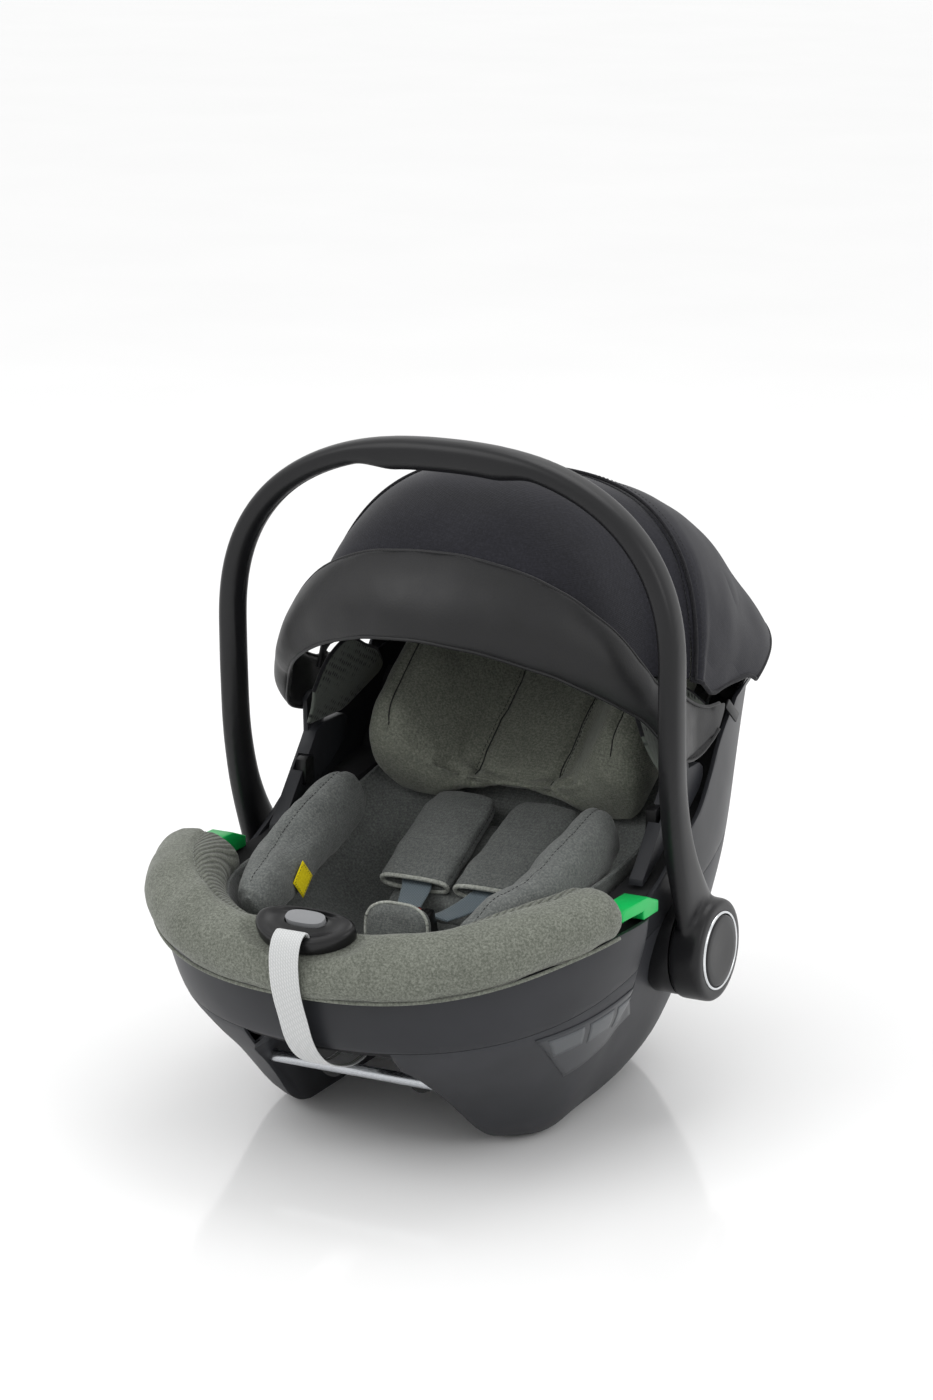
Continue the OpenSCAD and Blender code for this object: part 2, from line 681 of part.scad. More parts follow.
// ---- canopy ----
function rise(a) = lookup(a, [[-51, 160], [-40, 182], [-30, 197], [-15, 213], [0, 221], [20, 222],
  [30, 228], [40, 237], [50, 249], [60, 261], [70, 273], [78, 281]]);
function full(a) = lookup(a, [[-28, 3], [0, 2.6], [20, 2.9], [40, 2.8], [60, 2.9], [70, 3.3], [78, 3.8]]);
function slim(a) = lookup(a, [[-28, 36], [-10, 33], [0, 29], [8, 18], [15, 6], [20, 0]]);
function hood_pt(a, t, w, g) = let(p = rise(a) - g, n = full(a), x = (w - g - slim(a)) * spow(cos(t), 2 / n),
  s = p * pow(abs(sin(t)), 2 / n)) [x, canopy_y + s * sin(a), canopy_z + s * cos(a)];
function start_t(a, low) = asin(pow(low / rise(a), full(a) / 2));
function hood_ring(a, w, g, low, n, th) = let(t0 = start_t(a, low)) grow_all(concat(
  [for (i = [0:n]) hood_pt(a, t0 + (180 - 2 * t0) * i / n, w, g)],
  [for (i = [n:-1:0]) hood_pt(a, t0 + (180 - 2 * t0) * i / n, w, g + th)]));
module canopy_front() {
  color([0.08, 0.08, 0.1])
    placed()
      arch_skin([for (a = [-28, -20, -10, 0, 8, 15]) hood_ring(a, 182.6, 4.6, 66, 18, cloth_t)]);
}
module canopy_rear() {
  color([0.09, 0.09, 0.11])
    placed()
      arch_skin([for (a = [18, 28, 38, 48, 58, 68, 74]) hood_ring(a, 186.4, 0, 66 + 62 * smooth((a - 28) / 50),
        18, cloth_t)]);
}
function bow_ring(i) = let(a = 17, n = 20, t0 = start_t(a, 30), t = t0 + (180 - 2 * t0) * i / n,
  c = grow(hood_pt(a, t, 182, 9)), u = unit(grow(hood_pt(a, min(t + 1, 179.9), 182, 9)) - grow(hood_pt(a, max(t - 1, 0.1), 182, 9))),
  w = [0, cos(a), -sin(a)], v = unit(cross(u, w)))
  [for (k = [0:9]) c + w * 2.6 * cos(36 * k) + v * 2.6 * sin(36 * k)];
module canopy_bow() {
  color([0.1, 0.1, 0.1])
    placed()
      skin([for (i = [0:20]) bow_ring(i)]);
}

// padded peak with an ear down each side to the canopy pin
function visor_top(t) = let(p = 196, n = 2.3, s = p * pow(sin(t), 2 / n))
  [180 * spow(cos(t), 2 / n), canopy_y - 0.5 * s, canopy_z + 0.866 * s];
function visor_low(t) = let(p = 160, n = 1.9, s = p * pow(sin(t), 2 / n))
  [176 * spow(cos(t), 2 / n), 5 - 0.777 * s, canopy_z + 0.629 * s];
ear = [[[186.2, 76, 318], [186.2, 76, 325]], [[185.8, 66, 303], [185.8, 66, 327]],
  [[184.2, 48, 291], [184.2, 46, 330]], [[182, 28, 285], [182, 24, 338]],
  [[180.4, 4, 286], [180.4, 4, 349]], [[178.4, -14, 300], [180, -10, 357]]];
visor_n = 20;
function mirror_pair(q) = [[-q[0][0], q[0][1], q[0][2]], [-q[1][0], q[1][1], q[1][2]]];
visor_pairs = concat(ear, [for (i = [0:visor_n]) let(t = 20 + 140 * i / visor_n) [visor_low(t), visor_top(t)]],
  [for (i = [5:-1:0]) mirror_pair(ear[i])]);
function visor_ring(i) = let(q = visor_pairs[i], m = (q[0] + q[1]) / 2, edge = min(i, len(visor_pairs) - 1 - i),
  flat = edge < 6, th = flat ? 4 : 4 + 5 * smooth((edge - 5) / 6), b = flat ? 0 : 20 * smooth((edge - 5) / 3) - 8 * smooth((edge - 9) / 6),
  o = flat ? [sign(m[0]), 0, 0] : unit(m - [m[0] * 0.3, 60, 335]))
  grow_all(concat([for (k = [0:6]) let(u = k / 6) q[0] + (q[1] - q[0]) * u + o * b * 4 * u * (1 - u) * (1.25 - 0.5 * u)],
    [for (k = [6:-1:0]) let(u = k / 6) q[0] + (q[1] - q[0]) * u + o * (b * 4 * u * (1 - u) * (1.25 - 0.5 * u) - th)]));
module visor() {
  color([0.12, 0.12, 0.12])
    placed()
      difference() {
        arch_skin([for (i = [0:len(visor_pairs) - 1]) visor_ring(i)]);
        for (s = [-1, 1])
          side(s < 0)
            cross_rod(4 + pin_clear, 170 * kx, 190 * kx, canopy_y, canopy_z);
      }
}

module canopy_strut(left) {
  color([0.07, 0.07, 0.08])
    placed()
      side(left)
        side_prism([[86, 318], [92, 324], [114, 306], [108, 300]], 181.2, 183.2);
}
module canopy_strut_left() { canopy_strut(true); }
module canopy_strut_right() { canopy_strut(false); }

lower_shell();
upper_shell();
rear_lip();
foam_liner();
front_bar();
rear_bar();
hook_tabs();
shell_screws();
label_plate();
belt_guide_left();
belt_guide_right();
hub_mount_left();
hub_mount_right();
side_trim_left();
side_trim_right();
mesh_liner_left();
mesh_liner_right();
seat_cover();
insert_cushion();
rim_cushion();
adjuster_bezel();
adjuster_button();
adjuster_strap();
crotch_pad();
buckle_body();
buckle_button();
harness_strap_left();
harness_strap_right();
shoulder_pad_left();
shoulder_pad_right();
headrest_shell();
headrest_cushion();
wing_tag();
bolster_tag();
handle_arch();
handle_ring_left();
handle_ring_right();
handle_button_left();
handle_button_right();
release_button_left();
release_button_right();
visor();
canopy_bow();
canopy_front();
canopy_rear();
canopy_strut_left();
canopy_strut_right();
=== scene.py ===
import bmesh
import bpy
import math
import numpy as np
from mathutils import Matrix, Vector, noise
from mathutils.kdtree import KDTree


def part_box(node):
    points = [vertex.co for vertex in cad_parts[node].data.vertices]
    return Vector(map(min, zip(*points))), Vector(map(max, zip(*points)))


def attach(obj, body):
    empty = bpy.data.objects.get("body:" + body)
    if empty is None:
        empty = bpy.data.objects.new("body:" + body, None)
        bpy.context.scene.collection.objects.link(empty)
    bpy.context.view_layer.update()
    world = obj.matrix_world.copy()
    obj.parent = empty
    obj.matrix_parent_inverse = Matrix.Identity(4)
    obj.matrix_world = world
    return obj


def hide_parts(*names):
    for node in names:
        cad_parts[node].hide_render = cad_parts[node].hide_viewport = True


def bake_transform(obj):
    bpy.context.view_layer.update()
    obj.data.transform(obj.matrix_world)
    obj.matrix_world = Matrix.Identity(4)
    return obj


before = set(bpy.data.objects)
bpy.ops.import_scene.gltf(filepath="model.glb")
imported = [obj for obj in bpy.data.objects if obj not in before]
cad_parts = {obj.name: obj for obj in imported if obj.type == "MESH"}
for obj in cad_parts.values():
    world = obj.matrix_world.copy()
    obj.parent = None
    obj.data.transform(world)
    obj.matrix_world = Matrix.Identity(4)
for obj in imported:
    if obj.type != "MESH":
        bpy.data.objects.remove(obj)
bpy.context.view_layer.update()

# Sizes below are millimetres about the handle axis: +X across, -Y to the foot end, +Z up.
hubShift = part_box("handle_ring_right")[0].y * 500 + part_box("handle_ring_right")[1].y * 500  # handle axis in the frame
mm = 0.001


def place(points):  # millimetres about the handle axis to metres in the frame
    p = np.asarray(points, float).reshape(-1, 3) + np.array([0.0, hubShift, 0.0])
    return p * mm


# ---- camera, light and floor ----
cameraSettings = {"at": (1471.7, -2855.9, 1183.1), "target": (-15.0, 0.0, 320.4), "lens": 102.86}
cameraData = bpy.data.cameras.new("studioCamera")
cameraData.lens = cameraSettings["lens"]
cameraData.sensor_width = 36
cameraData.clip_end = 100
camera = bpy.data.objects.new("studioCamera", cameraData)
bpy.context.scene.collection.objects.link(camera)
eye, target = (Vector(p) for p in place([cameraSettings["at"], cameraSettings["target"]]))
camera.location = eye
camera.rotation_euler = (target - eye).to_track_quat("-Z", "Y").to_euler()
bpy.context.scene.camera = camera
bpy.context.scene.view_settings.view_transform = "Standard"
print("camera set")


def linear(code):  # sRGB hex to the linear colour that shaders take
    parts = [int(code[i:i + 2], 16) / 255 for i in (1, 3, 5)]
    return tuple(c / 12.92 if c <= 0.04045 else ((c + 0.055) / 1.055) ** 2.4 for c in parts) + (1.0,)


def addNode(material, kind, settings=None, inputs=None):  # one shader node with its settings and links
    tree = material.node_tree
    node = tree.nodes.new(kind)
    for key, value in (settings or {}).items():
        setattr(node, key, value)
    for key, value in (inputs or {}).items():
        socket = node.inputs[key]
        if isinstance(value, tuple) and len(value) == 2 and isinstance(value[0], bpy.types.Node):
            tree.links.new(value[0].outputs[value[1]], socket)
        else:
            socket.default_value = value
    return node


def newMaterial(name, shader):  # a Principled material with its fixed socket values
    material = bpy.data.materials.new(name)
    material.use_nodes = True
    material.node_tree.nodes.clear()
    surface = addNode(material, "ShaderNodeBsdfPrincipled", inputs=shader)
    addNode(material, "ShaderNodeOutputMaterial", inputs={"Surface": (surface, "BSDF")})
    return material, surface


def join(material, node, output, target, socket):
    material.node_tree.links.new(node.outputs[output], target.inputs[socket])


def perMetre(size):  # texture scale for a pattern that repeats every size millimetres
    return 1000.0 / size


def stops(node, pairs):  # colour ramp stops as (position, colour)
    ramp = node.color_ramp
    while len(ramp.elements) < len(pairs):
        ramp.elements.new(0.5)
    for element, (position, colour) in zip(ramp.elements, pairs):
        element.position = position
        element.color = colour


# ---- moulded plastics ----
def mouldedPlastic(name, tint, shade, rough, grain, relief, coat=0.0):
    material, surface = newMaterial(name, {"IOR": 1.49, "Specular IOR Level": 0.3, "Coat Weight": coat, "Coat Roughness": 0.25})
    where = addNode(material, "ShaderNodeTexCoord")
    spark = addNode(material, "ShaderNodeTexNoise", inputs={
        "Vector": (where, "Object"), "Scale": perMetre(grain), "Detail": 2.0, "Roughness": 0.6})
    cloud = addNode(material, "ShaderNodeTexNoise", inputs={
        "Vector": (where, "Object"), "Scale": perMetre(90), "Detail": 3.0})
    colour = addNode(material, "ShaderNodeValToRGB", inputs={"Fac": (cloud, "Fac")})
    stops(colour, [(0.35, linear(tint)), (0.7, linear(shade))])
    gloss = addNode(material, "ShaderNodeMapRange", inputs={
        "Value": (cloud, "Fac"), "From Min": 0.3, "From Max": 0.7, "To Min": rough - 0.04, "To Max": rough + 0.05})
    bump = addNode(material, "ShaderNodeBump", inputs={
        "Height": (spark, "Fac"), "Strength": 0.5, "Distance": relief * mm})
    join(material, colour, "Color", surface, "Base Color")
    join(material, gloss, "Result", surface, "Roughness")
    join(material, bump, "Normal", surface, "Normal")
    return material


# polypropylene, spark eroded mould: a dull charcoal skin with a fine even grain
sparkPolypropylene = mouldedPlastic("sparkErodedPolypropylene", "#333438", "#2C2D30", 0.5, 1.3, 0.09)
# the band above the seam is a little smoother
bandPolypropylene = mouldedPlastic("satinPolypropylene", "#2B2C30", "#26272A", 0.44, 1.3, 0.05)
# glass filled nylon, satin mould: near black with a soft highlight
satinNylon = mouldedPlastic("satinBlackNylon", "#18181A", "#131315", 0.36, 1.4, 0.03, 0.05)
# ABS, fine mould: black with a clearer highlight
blackAbs = mouldedPlastic("blackMouldedAbs", "#161617", "#111112", 0.3, 1.5, 0.02, 0.08)
# ABS button: mid grey, satin
greyAbs = mouldedPlastic("greyMouldedAbs", "#8A8B8D", "#808183", 0.38, 1.5, 0.02)
# dyed polypropylene: a clear green, satin
greenPolypropylene = mouldedPlastic("greenPolypropylene", "#12B658", "#0CA34C", 0.36, 1.4, 0.03)
# dyed ABS: the red of a release button
redAbs = mouldedPlastic("redMouldedAbs", "#B3161A", "#A31216", 0.34, 1.4, 0.02)
# expanded polypropylene: black beads
beadFoam = mouldedPlastic("expandedPolypropylene", "#232325", "#1B1B1C", 0.85, 4.0, 0.35)


# ---- metals ----
def platedMetal(name, tint, rough, streak, relief):
    material, surface = newMaterial(name, {"Metallic": 1.0})
    where = addNode(material, "ShaderNodeTexCoord")
    stretch = addNode(material, "ShaderNodeMapping", inputs={
        "Vector": (where, "Object"), "Scale": (perMetre(streak) * 0.05, perMetre(streak), perMetre(streak))})
    lines = addNode(material, "ShaderNodeTexNoise", inputs={"Vector": (stretch, "Vector"), "Scale": 1.0, "Detail": 3.0})
    gloss = addNode(material, "ShaderNodeMapRange", inputs={
        "Value": (lines, "Fac"), "To Min": rough * 0.7, "To Max": rough * 1.4})
    colour = addNode(material, "ShaderNodeValToRGB", inputs={"Fac": (lines, "Fac")})
    base = linear(tint)
    stops(colour, [(0.2, tuple(c * 0.86 for c in base[:3]) + (1.0,)), (0.8, base)])
    bump = addNode(material, "ShaderNodeBump", inputs={"Height": (lines, "Fac"), "Strength": 0.3, "Distance": relief * mm})
    join(material, colour, "Color", surface, "Base Color")
    join(material, gloss, "Result", surface, "Roughness")
    join(material, bump, "Normal", surface, "Normal")
    return material


zincPlatedSteel = platedMetal("drawnZincPlatedSteel", "#C4C7CB", 0.26, 1.2, 0.02)  # drawn bar, faint lines along it
chromePlatedAbs = platedMetal("chromePlatedAbs", "#E2E4E6", 0.1, 3.0, 0.0)  # bright ring


# ---- cloths ----
def knitCloth(name, tints, fleck, pitch, relief, sheen, rough=0.92, rib=0.0, diagonal=False):
    material, surface = newMaterial(name, {
        "Roughness": rough, "Specular IOR Level": 0.2, "Sheen Weight": sheen, "Sheen Roughness": 0.45})
    where = addNode(material, "ShaderNodeTexCoord")
    fibres = addNode(material, "ShaderNodeTexNoise", inputs={
        "Vector": (where, "Object"), "Scale": perMetre(fleck), "Detail": 4.0, "Roughness": 0.72})
    patches = addNode(material, "ShaderNodeTexNoise", inputs={
        "Vector": (where, "Object"), "Scale": perMetre(38), "Detail": 2.0})
    colour = addNode(material, "ShaderNodeValToRGB", inputs={"Fac": (fibres, "Fac")})
    stops(colour, [(0.36, linear(tints[0])), (0.5, linear(tints[1])), (0.64, linear(tints[2]))])
    wash = addNode(material, "ShaderNodeMapRange", inputs={
        "Value": (patches, "Fac"), "From Min": 0.3, "From Max": 0.7, "To Min": 0.93, "To Max": 1.06})
    shaded = addNode(material, "ShaderNodeVectorMath", {"operation": "SCALE"}, {
        0: (colour, "Color"), "Scale": (wash, "Result")})
    turn = addNode(material, "ShaderNodeMapping", inputs={
        "Vector": (where, "Object"), "Rotation": (0.6, 0.35, 0.8) if diagonal else (0.0, 0.0, 0.0)})
    rows = addNode(material, "ShaderNodeTexWave", {"bands_direction": "Z"}, {
        "Vector": (turn, "Vector"), "Scale": perMetre(pitch) * 0.31416, "Distortion": 1.2, "Detail": 1.0, "Detail Scale": 3.0})
    wales = addNode(material, "ShaderNodeTexWave", {"bands_direction": "X"}, {
        "Vector": (turn, "Vector"), "Scale": perMetre(pitch) * 0.31416, "Distortion": 1.2, "Detail": 1.0, "Detail Scale": 3.0})
    loops = addNode(material, "ShaderNodeMath", {"operation": "MULTIPLY"}, {0: (rows, "Fac"), 1: (wales, "Fac")})
    height = addNode(material, "ShaderNodeMath", {"operation": "MULTIPLY_ADD"}, {
        0: (fibres, "Fac"), 1: 0.8, 2: (loops, "Value")})
    last = (height, "Value")
    if rib:
        ribs = addNode(material, "ShaderNodeTexWave", {"bands_direction": "X"}, {
            "Vector": (where, "Object"), "Scale": perMetre(rib) * 0.31416, "Distortion": 0.4, "Detail": 1.0})
        height = addNode(material, "ShaderNodeMath", {"operation": "MULTIPLY_ADD"}, {
            0: (ribs, "Fac"), 1: 3.5, 2: last})
        last = (height, "Value")
        # painted shade: the colour is darkened down to 0.55 in the grooves between the ribs, where the rib bump is
        # lowest
        ribGrooveShade = addNode(material, "ShaderNodeMapRange", inputs={
            "Value": (ribs, "Fac"), "From Min": 0.0, "From Max": 0.6, "To Min": 0.55, "To Max": 1.0})
        shaded = addNode(material, "ShaderNodeVectorMath", {"operation": "SCALE"}, {
            0: (shaded, "Vector"), "Scale": (ribGrooveShade, "Result")})
    bump = addNode(material, "ShaderNodeBump", inputs={"Height": last, "Strength": 0.6, "Distance": relief * mm})
    join(material, shaded, "Vector", surface, "Base Color")
    join(material, bump, "Normal", surface, "Normal")
    return material


# the real loops are under 1 mm, so fleck and pitch are drawn about twice as coarse to show
greyMelange = knitCloth("greyMelangeKnit", ("#575A52", "#6B6E65", "#80837A"), 1.9, 1.9, 0.3, 0.2)
seatMelange = knitCloth("seatMelangeKnit", ("#666960", "#7B7E73", "#919488"), 1.9, 1.9, 0.3, 0.22)
darkMelange = knitCloth("darkMelangeKnit", ("#555857", "#646765", "#777A77"), 1.9, 1.9, 0.3, 0.2)
ribbedMelange = knitCloth("ribbedMelangeKnit", ("#575A52", "#686B62", "#7A7D74"), 1.9, 1.9, 0.5, 0.2, rib=4.2)
pipingCloth = knitCloth("lightPipingKnit", ("#8C8F88", "#A5A8A0", "#BDBFB8"), 2.4, 1.8, 0.2, 0.2)
canopyJersey = knitCloth("blackCanopyJersey", ("#1B1B20", "#1F1F25", "#25252B"), 2.4, 1.6, 0.12, 0.14, rough=0.8, diagonal=True)
hemTape = knitCloth("blackHemTape", ("#18181B", "#1F1F22", "#27272A"), 2.0, 1.6, 0.15, 0.1)
yellowLabel = knitCloth("yellowWovenLabel", ("#D9C40C", "#E6D213", "#EFDE2C"), 2.0, 1.4, 0.08, 0.05)


# 3-D spacer mesh: a green grey face with an even grid of dark eyelets
def spacerMesh():
    material, surface = newMaterial("spacerMeshKnit", {"Roughness": 0.9, "Specular IOR Level": 0.2, "Sheen Weight": 0.15})
    where = addNode(material, "ShaderNodeTexCoord")
    squeeze = addNode(material, "ShaderNodeMapping", inputs={
        "Vector": (where, "Object"), "Rotation": (0.3, 0.0, 0.0), "Scale": (0.25, 1.0, 0.7)})
    cells = addNode(material, "ShaderNodeTexVoronoi", inputs={
        "Vector": (squeeze, "Vector"), "Scale": perMetre(4.6), "Randomness": 0.25})
    colour = addNode(material, "ShaderNodeValToRGB", inputs={"Fac": (cells, "Distance")})
    stops(colour, [(0.16, linear("#191B1A")), (0.4, linear("#5C615B"))])
    bump = addNode(material, "ShaderNodeBump", inputs={"Height": (cells, "Distance"), "Strength": 0.8, "Distance": 0.8 * mm})
    join(material, colour, "Color", surface, "Base Color")
    join(material, bump, "Normal", surface, "Normal")
    return material


meshKnit = spacerMesh()


# polyester webbing: flat woven tape with ribs across and a firm selvedge
def wovenTape(name, light, dark):
    material, surface = newMaterial(name, {"Roughness": 0.62, "Specular IOR Level": 0.4, "Sheen Weight": 0.25})
    where = addNode(material, "ShaderNodeTexCoord")
    across = addNode(material, "ShaderNodeTexWave", {"bands_direction": "X"}, {
        "Vector": (where, "Object"), "Scale": perMetre(2.2) * 0.31416, "Distortion": 0.3})
    along = addNode(material, "ShaderNodeTexWave", {"bands_direction": "DIAGONAL"}, {
        "Vector": (where, "Object"), "Scale": perMetre(1.5) * 0.31416, "Distortion": 0.5})
    weave = addNode(material, "ShaderNodeMath", {"operation": "MULTIPLY"}, {0: (across, "Fac"), 1: (along, "Fac")})
    colour = addNode(material, "ShaderNodeValToRGB", inputs={"Fac": (weave, "Value")})
    stops(colour, [(0.0, linear(dark)), (0.5, linear(light))])
    bump = addNode(material, "ShaderNodeBump", inputs={"Height": (weave, "Value"), "Strength": 0.7, "Distance": 0.25 * mm})
    join(material, colour, "Color", surface, "Base Color")
    join(material, bump, "Normal", surface, "Normal")
    return material


greyWebbing = wovenTape("blueGreyPolyesterWebbing", "#6B787F", "#5C686F")
lightWebbing = wovenTape("lightGreyPolyesterWebbing", "#CFD0D0", "#BBBDBD")


# coated polyurethane leatherette: black, fine pebbled grain, soft broad highlight
def leatherette():
    material, surface = newMaterial("blackPolyurethaneLeatherette", {
        "IOR": 1.5, "Specular IOR Level": 0.34, "Sheen Weight": 0.05, "Coat Weight": 0.04, "Coat Roughness": 0.4})
    where = addNode(material, "ShaderNodeTexCoord")
    pebbles = addNode(material, "ShaderNodeTexVoronoi", {"feature": "SMOOTH_F1"}, {
        "Vector": (where, "Object"), "Scale": perMetre(1.9), "Smoothness": 0.6})
    creases = addNode(material, "ShaderNodeTexNoise", inputs={
        "Vector": (where, "Object"), "Scale": perMetre(26), "Detail": 5.0, "Roughness": 0.65})
    height = addNode(material, "ShaderNodeMath", {"operation": "MULTIPLY_ADD"}, {
        0: (creases, "Fac"), 1: 2.5, 2: (pebbles, "Distance")})
    gloss = addNode(material, "ShaderNodeMapRange", inputs={
        "Value": (creases, "Fac"), "From Min": 0.3, "From Max": 0.7, "To Min": 0.4, "To Max": 0.52})
    colour = addNode(material, "ShaderNodeValToRGB", inputs={"Fac": (creases, "Fac")})
    stops(colour, [(0.3, linear("#131314")), (0.7, linear("#18181A"))])
    bump = addNode(material, "ShaderNodeBump", inputs={"Height": (height, "Value"), "Strength": 0.35, "Distance": 0.16 * mm})
    join(material, colour, "Color", surface, "Base Color")
    join(material, gloss, "Result", surface, "Roughness")
    join(material, bump, "Normal", surface, "Normal")
    return material


padLeatherette = leatherette()
threadDark = mouldedPlastic("darkPolyesterThread", "#2A2B2B", "#222323", 0.7, 0.8, 0.05)
threadLight = mouldedPlastic("greyPolyesterThread", "#8B8E88", "#7C7F79", 0.7, 0.8, 0.05)
printedFilm = mouldedPlastic("satinLabelFilm", "#34363A", "#303236", 0.34, 6.0, 0.01, 0.1)
printedFilmPale = mouldedPlastic("paleLabelFilm", "#54575A", "#4E5154", 0.36, 6.0, 0.01, 0.1)
print("materials made")


# pale painted studio floor with a faint roller texture
def studioFloor():
    material, surface = newMaterial("palePaintedFloor", {"Roughness": 0.1, "IOR": 1.45})
    where = addNode(material, "ShaderNodeTexCoord")
    roller = addNode(material, "ShaderNodeTexNoise", inputs={"Vector": (where, "Object"), "Scale": perMetre(400), "Detail": 2.0})
    colour = addNode(material, "ShaderNodeValToRGB", inputs={"Fac": (roller, "Fac")})
    stops(colour, [(0.3, linear("#F4F4F4")), (0.7, linear("#F7F7F7"))])
    join(material, colour, "Color", surface, "Base Color")
    bpy.ops.mesh.primitive_plane_add(size=60, location=(0, 0, -0.0004))
    floor = bpy.context.object
    floor.name = "studioFloor"
    floor.data.materials.append(material)


studioFloor()
world = bpy.data.worlds.new("studioWorld")
bpy.context.scene.world = world
world.use_nodes = True
world.node_tree.nodes["Background"].inputs["Color"].default_value = (1.0, 1.0, 1.0, 1.0)
world.node_tree.nodes["Background"].inputs["Strength"].default_value = 1.0
lights = {  # position, aim, width, power
    "keyPanel": ((-1.6, -1.9, 2.6), (0, 0, 0.3), 1.8, 24),
    "rightPanel": ((2.6, -0.6, 1.6), (0, 0, 0.3), 1.4, 10),
    "topPanel": ((0.2, 0.9, 2.6), (0, 0.05, 0.4), 1.6, 16),
}
for lightName, (spot, aim, width, power) in lights.items():
    lamp = bpy.data.lights.new(lightName, "AREA")
    lamp.size = width
    lamp.energy = power
    holder = bpy.data.objects.new(lightName, lamp)
    holder.location = spot
    holder.rotation_euler = (Vector(aim) - Vector(spot)).to_track_quat("-Z", "Y").to_euler()
    bpy.context.scene.collection.objects.link(holder)
print("studio set")


# ---- shape helpers ----
def smoothTable(table):  # a curve through the table's points that never overshoots them
    xs, ys = (np.array([row[k] for row in table], float) for k in (0, 1))
    step = np.diff(xs)
    rise = np.diff(ys) / step
    slope = np.zeros(len(xs))
    slope[0], slope[-1] = rise[0], rise[-1]
    for i in range(1, len(xs) - 1):
        if rise[i - 1] * rise[i] > 0:
            w1, w2 = 2 * step[i] + step[i - 1], step[i] + 2 * step[i - 1]
            slope[i] = (w1 + w2) / (w1 / rise[i - 1] + w2 / rise[i])

    def curve(x):
        x = np.clip(np.asarray(x, float), xs[0], xs[-1])
        i = np.clip(np.searchsorted(xs, x, side="right") - 1, 0, len(step) - 1)
        t = (x - xs[i]) / step[i]
        return ((1 + 2 * t) * (1 - t) ** 2 * ys[i] + t * (1 - t) ** 2 * step[i] * slope[i]
                + t * t * (3 - 2 * t) * ys[i + 1] + t * t * (t - 1) * step[i] * slope[i + 1])
    return curve


def ease(t):
    t = np.clip(t, 0, 1)
    return t * t * (3 - 2 * t)


def power(value, exponent):
    return np.sign(value) * np.abs(value) ** exponent


def spline(points, count, closed=False):  # points spread evenly along a Catmull-Rom curve
    p = np.asarray(points, float)
    if closed:
        p = np.vstack([p[-1:], p, p[:2]])
    else:
        p = np.vstack([2 * p[0] - p[1], p, 2 * p[-1] - p[-2]])
    parts = []
    for i in range(1, len(p) - 2):
        t = np.linspace(0, 1, 24, endpoint=False)[:, None]
        a, b, c, d = p[i - 1:i + 3]
        parts.append(0.5 * (2 * b + (c - a) * t + (2 * a - 5 * b + 4 * c - d) * t * t + (3 * b - a - 3 * c + d) * t ** 3))
    dense = np.vstack(parts + [p[-2:-1]])
    length = np.concatenate([[0], np.cumsum(np.linalg.norm(np.diff(dense, axis=0), axis=1))])
    at = np.linspace(0, length[-1], count + (1 if closed else 0))[:count]
    return np.stack([np.interp(at, length, dense[:, k]) for k in range(p.shape[1])], 1)


def newPiece(name, points, faces, material):  # a smooth shaded mesh from millimetre points
    mesh = bpy.data.meshes.new(name)
    mesh.from_pydata([tuple(p) for p in place(points)], [], [tuple(int(i) for i in f) for f in faces])
    mesh.validate()
    mesh.shade_smooth()
    piece = bpy.data.objects.new(name, mesh)
    bpy.context.scene.collection.objects.link(piece)
    for m in material if isinstance(material, list) else [material]:
        mesh.materials.append(m)
    return piece


def fixNormals(piece):
    work = bmesh.new()
    work.from_mesh(piece.data)
    bmesh.ops.recalc_face_normals(work, faces=work.faces)
    work.to_mesh(piece.data)
    work.free()
    return piece


def loftPiece(name, rings, material, capped=True):  # closed tube over rings of equal length
    rings = np.asarray(rings, float)
    m, n = rings.shape[:2]
    faces = [(i * n + j, i * n + (j + 1) % n, (i + 1) * n + (j + 1) % n, (i + 1) * n + j)
             for i in range(m - 1) for j in range(n)]
    points = rings.reshape(-1, 3)
    if capped:
        points = np.vstack([points, rings[0].mean(0), rings[-1].mean(0)])
        faces += [(m * n, (j + 1) % n, j) for j in range(n)]
        faces += [(m * n + 1, (m - 1) * n + j, (m - 1) * n + (j + 1) % n) for j in range(n)]
    return fixNormals(newPiece(name, points, faces, material))


def clothSheet(name, grid, thickness, material):  # sheet of cloth with a folded edge
    grid = np.asarray(grid, float)
    m, n = grid.shape[:2]
    faces = [(i * n + j, i * n + j + 1, (i + 1) * n + j + 1, (i + 1) * n + j) for i in range(m - 1) for j in range(n - 1)]
    piece = newPiece(name, grid.reshape(-1, 3), faces, material)
    solid = piece.modifiers.new("thickness", "SOLIDIFY")
    solid.thickness = thickness * mm
    solid.offset = 0
    return applyAll(piece)


def applyAll(piece):  # replaces the mesh by what its modifiers make
    bpy.context.view_layer.update()
    made = bpy.data.meshes.new_from_object(piece.evaluated_get(bpy.context.evaluated_depsgraph_get()))
    old = piece.data
    piece.modifiers.clear()
    piece.data = made
    made.name = old.name
    bpy.data.meshes.remove(old)
    return piece


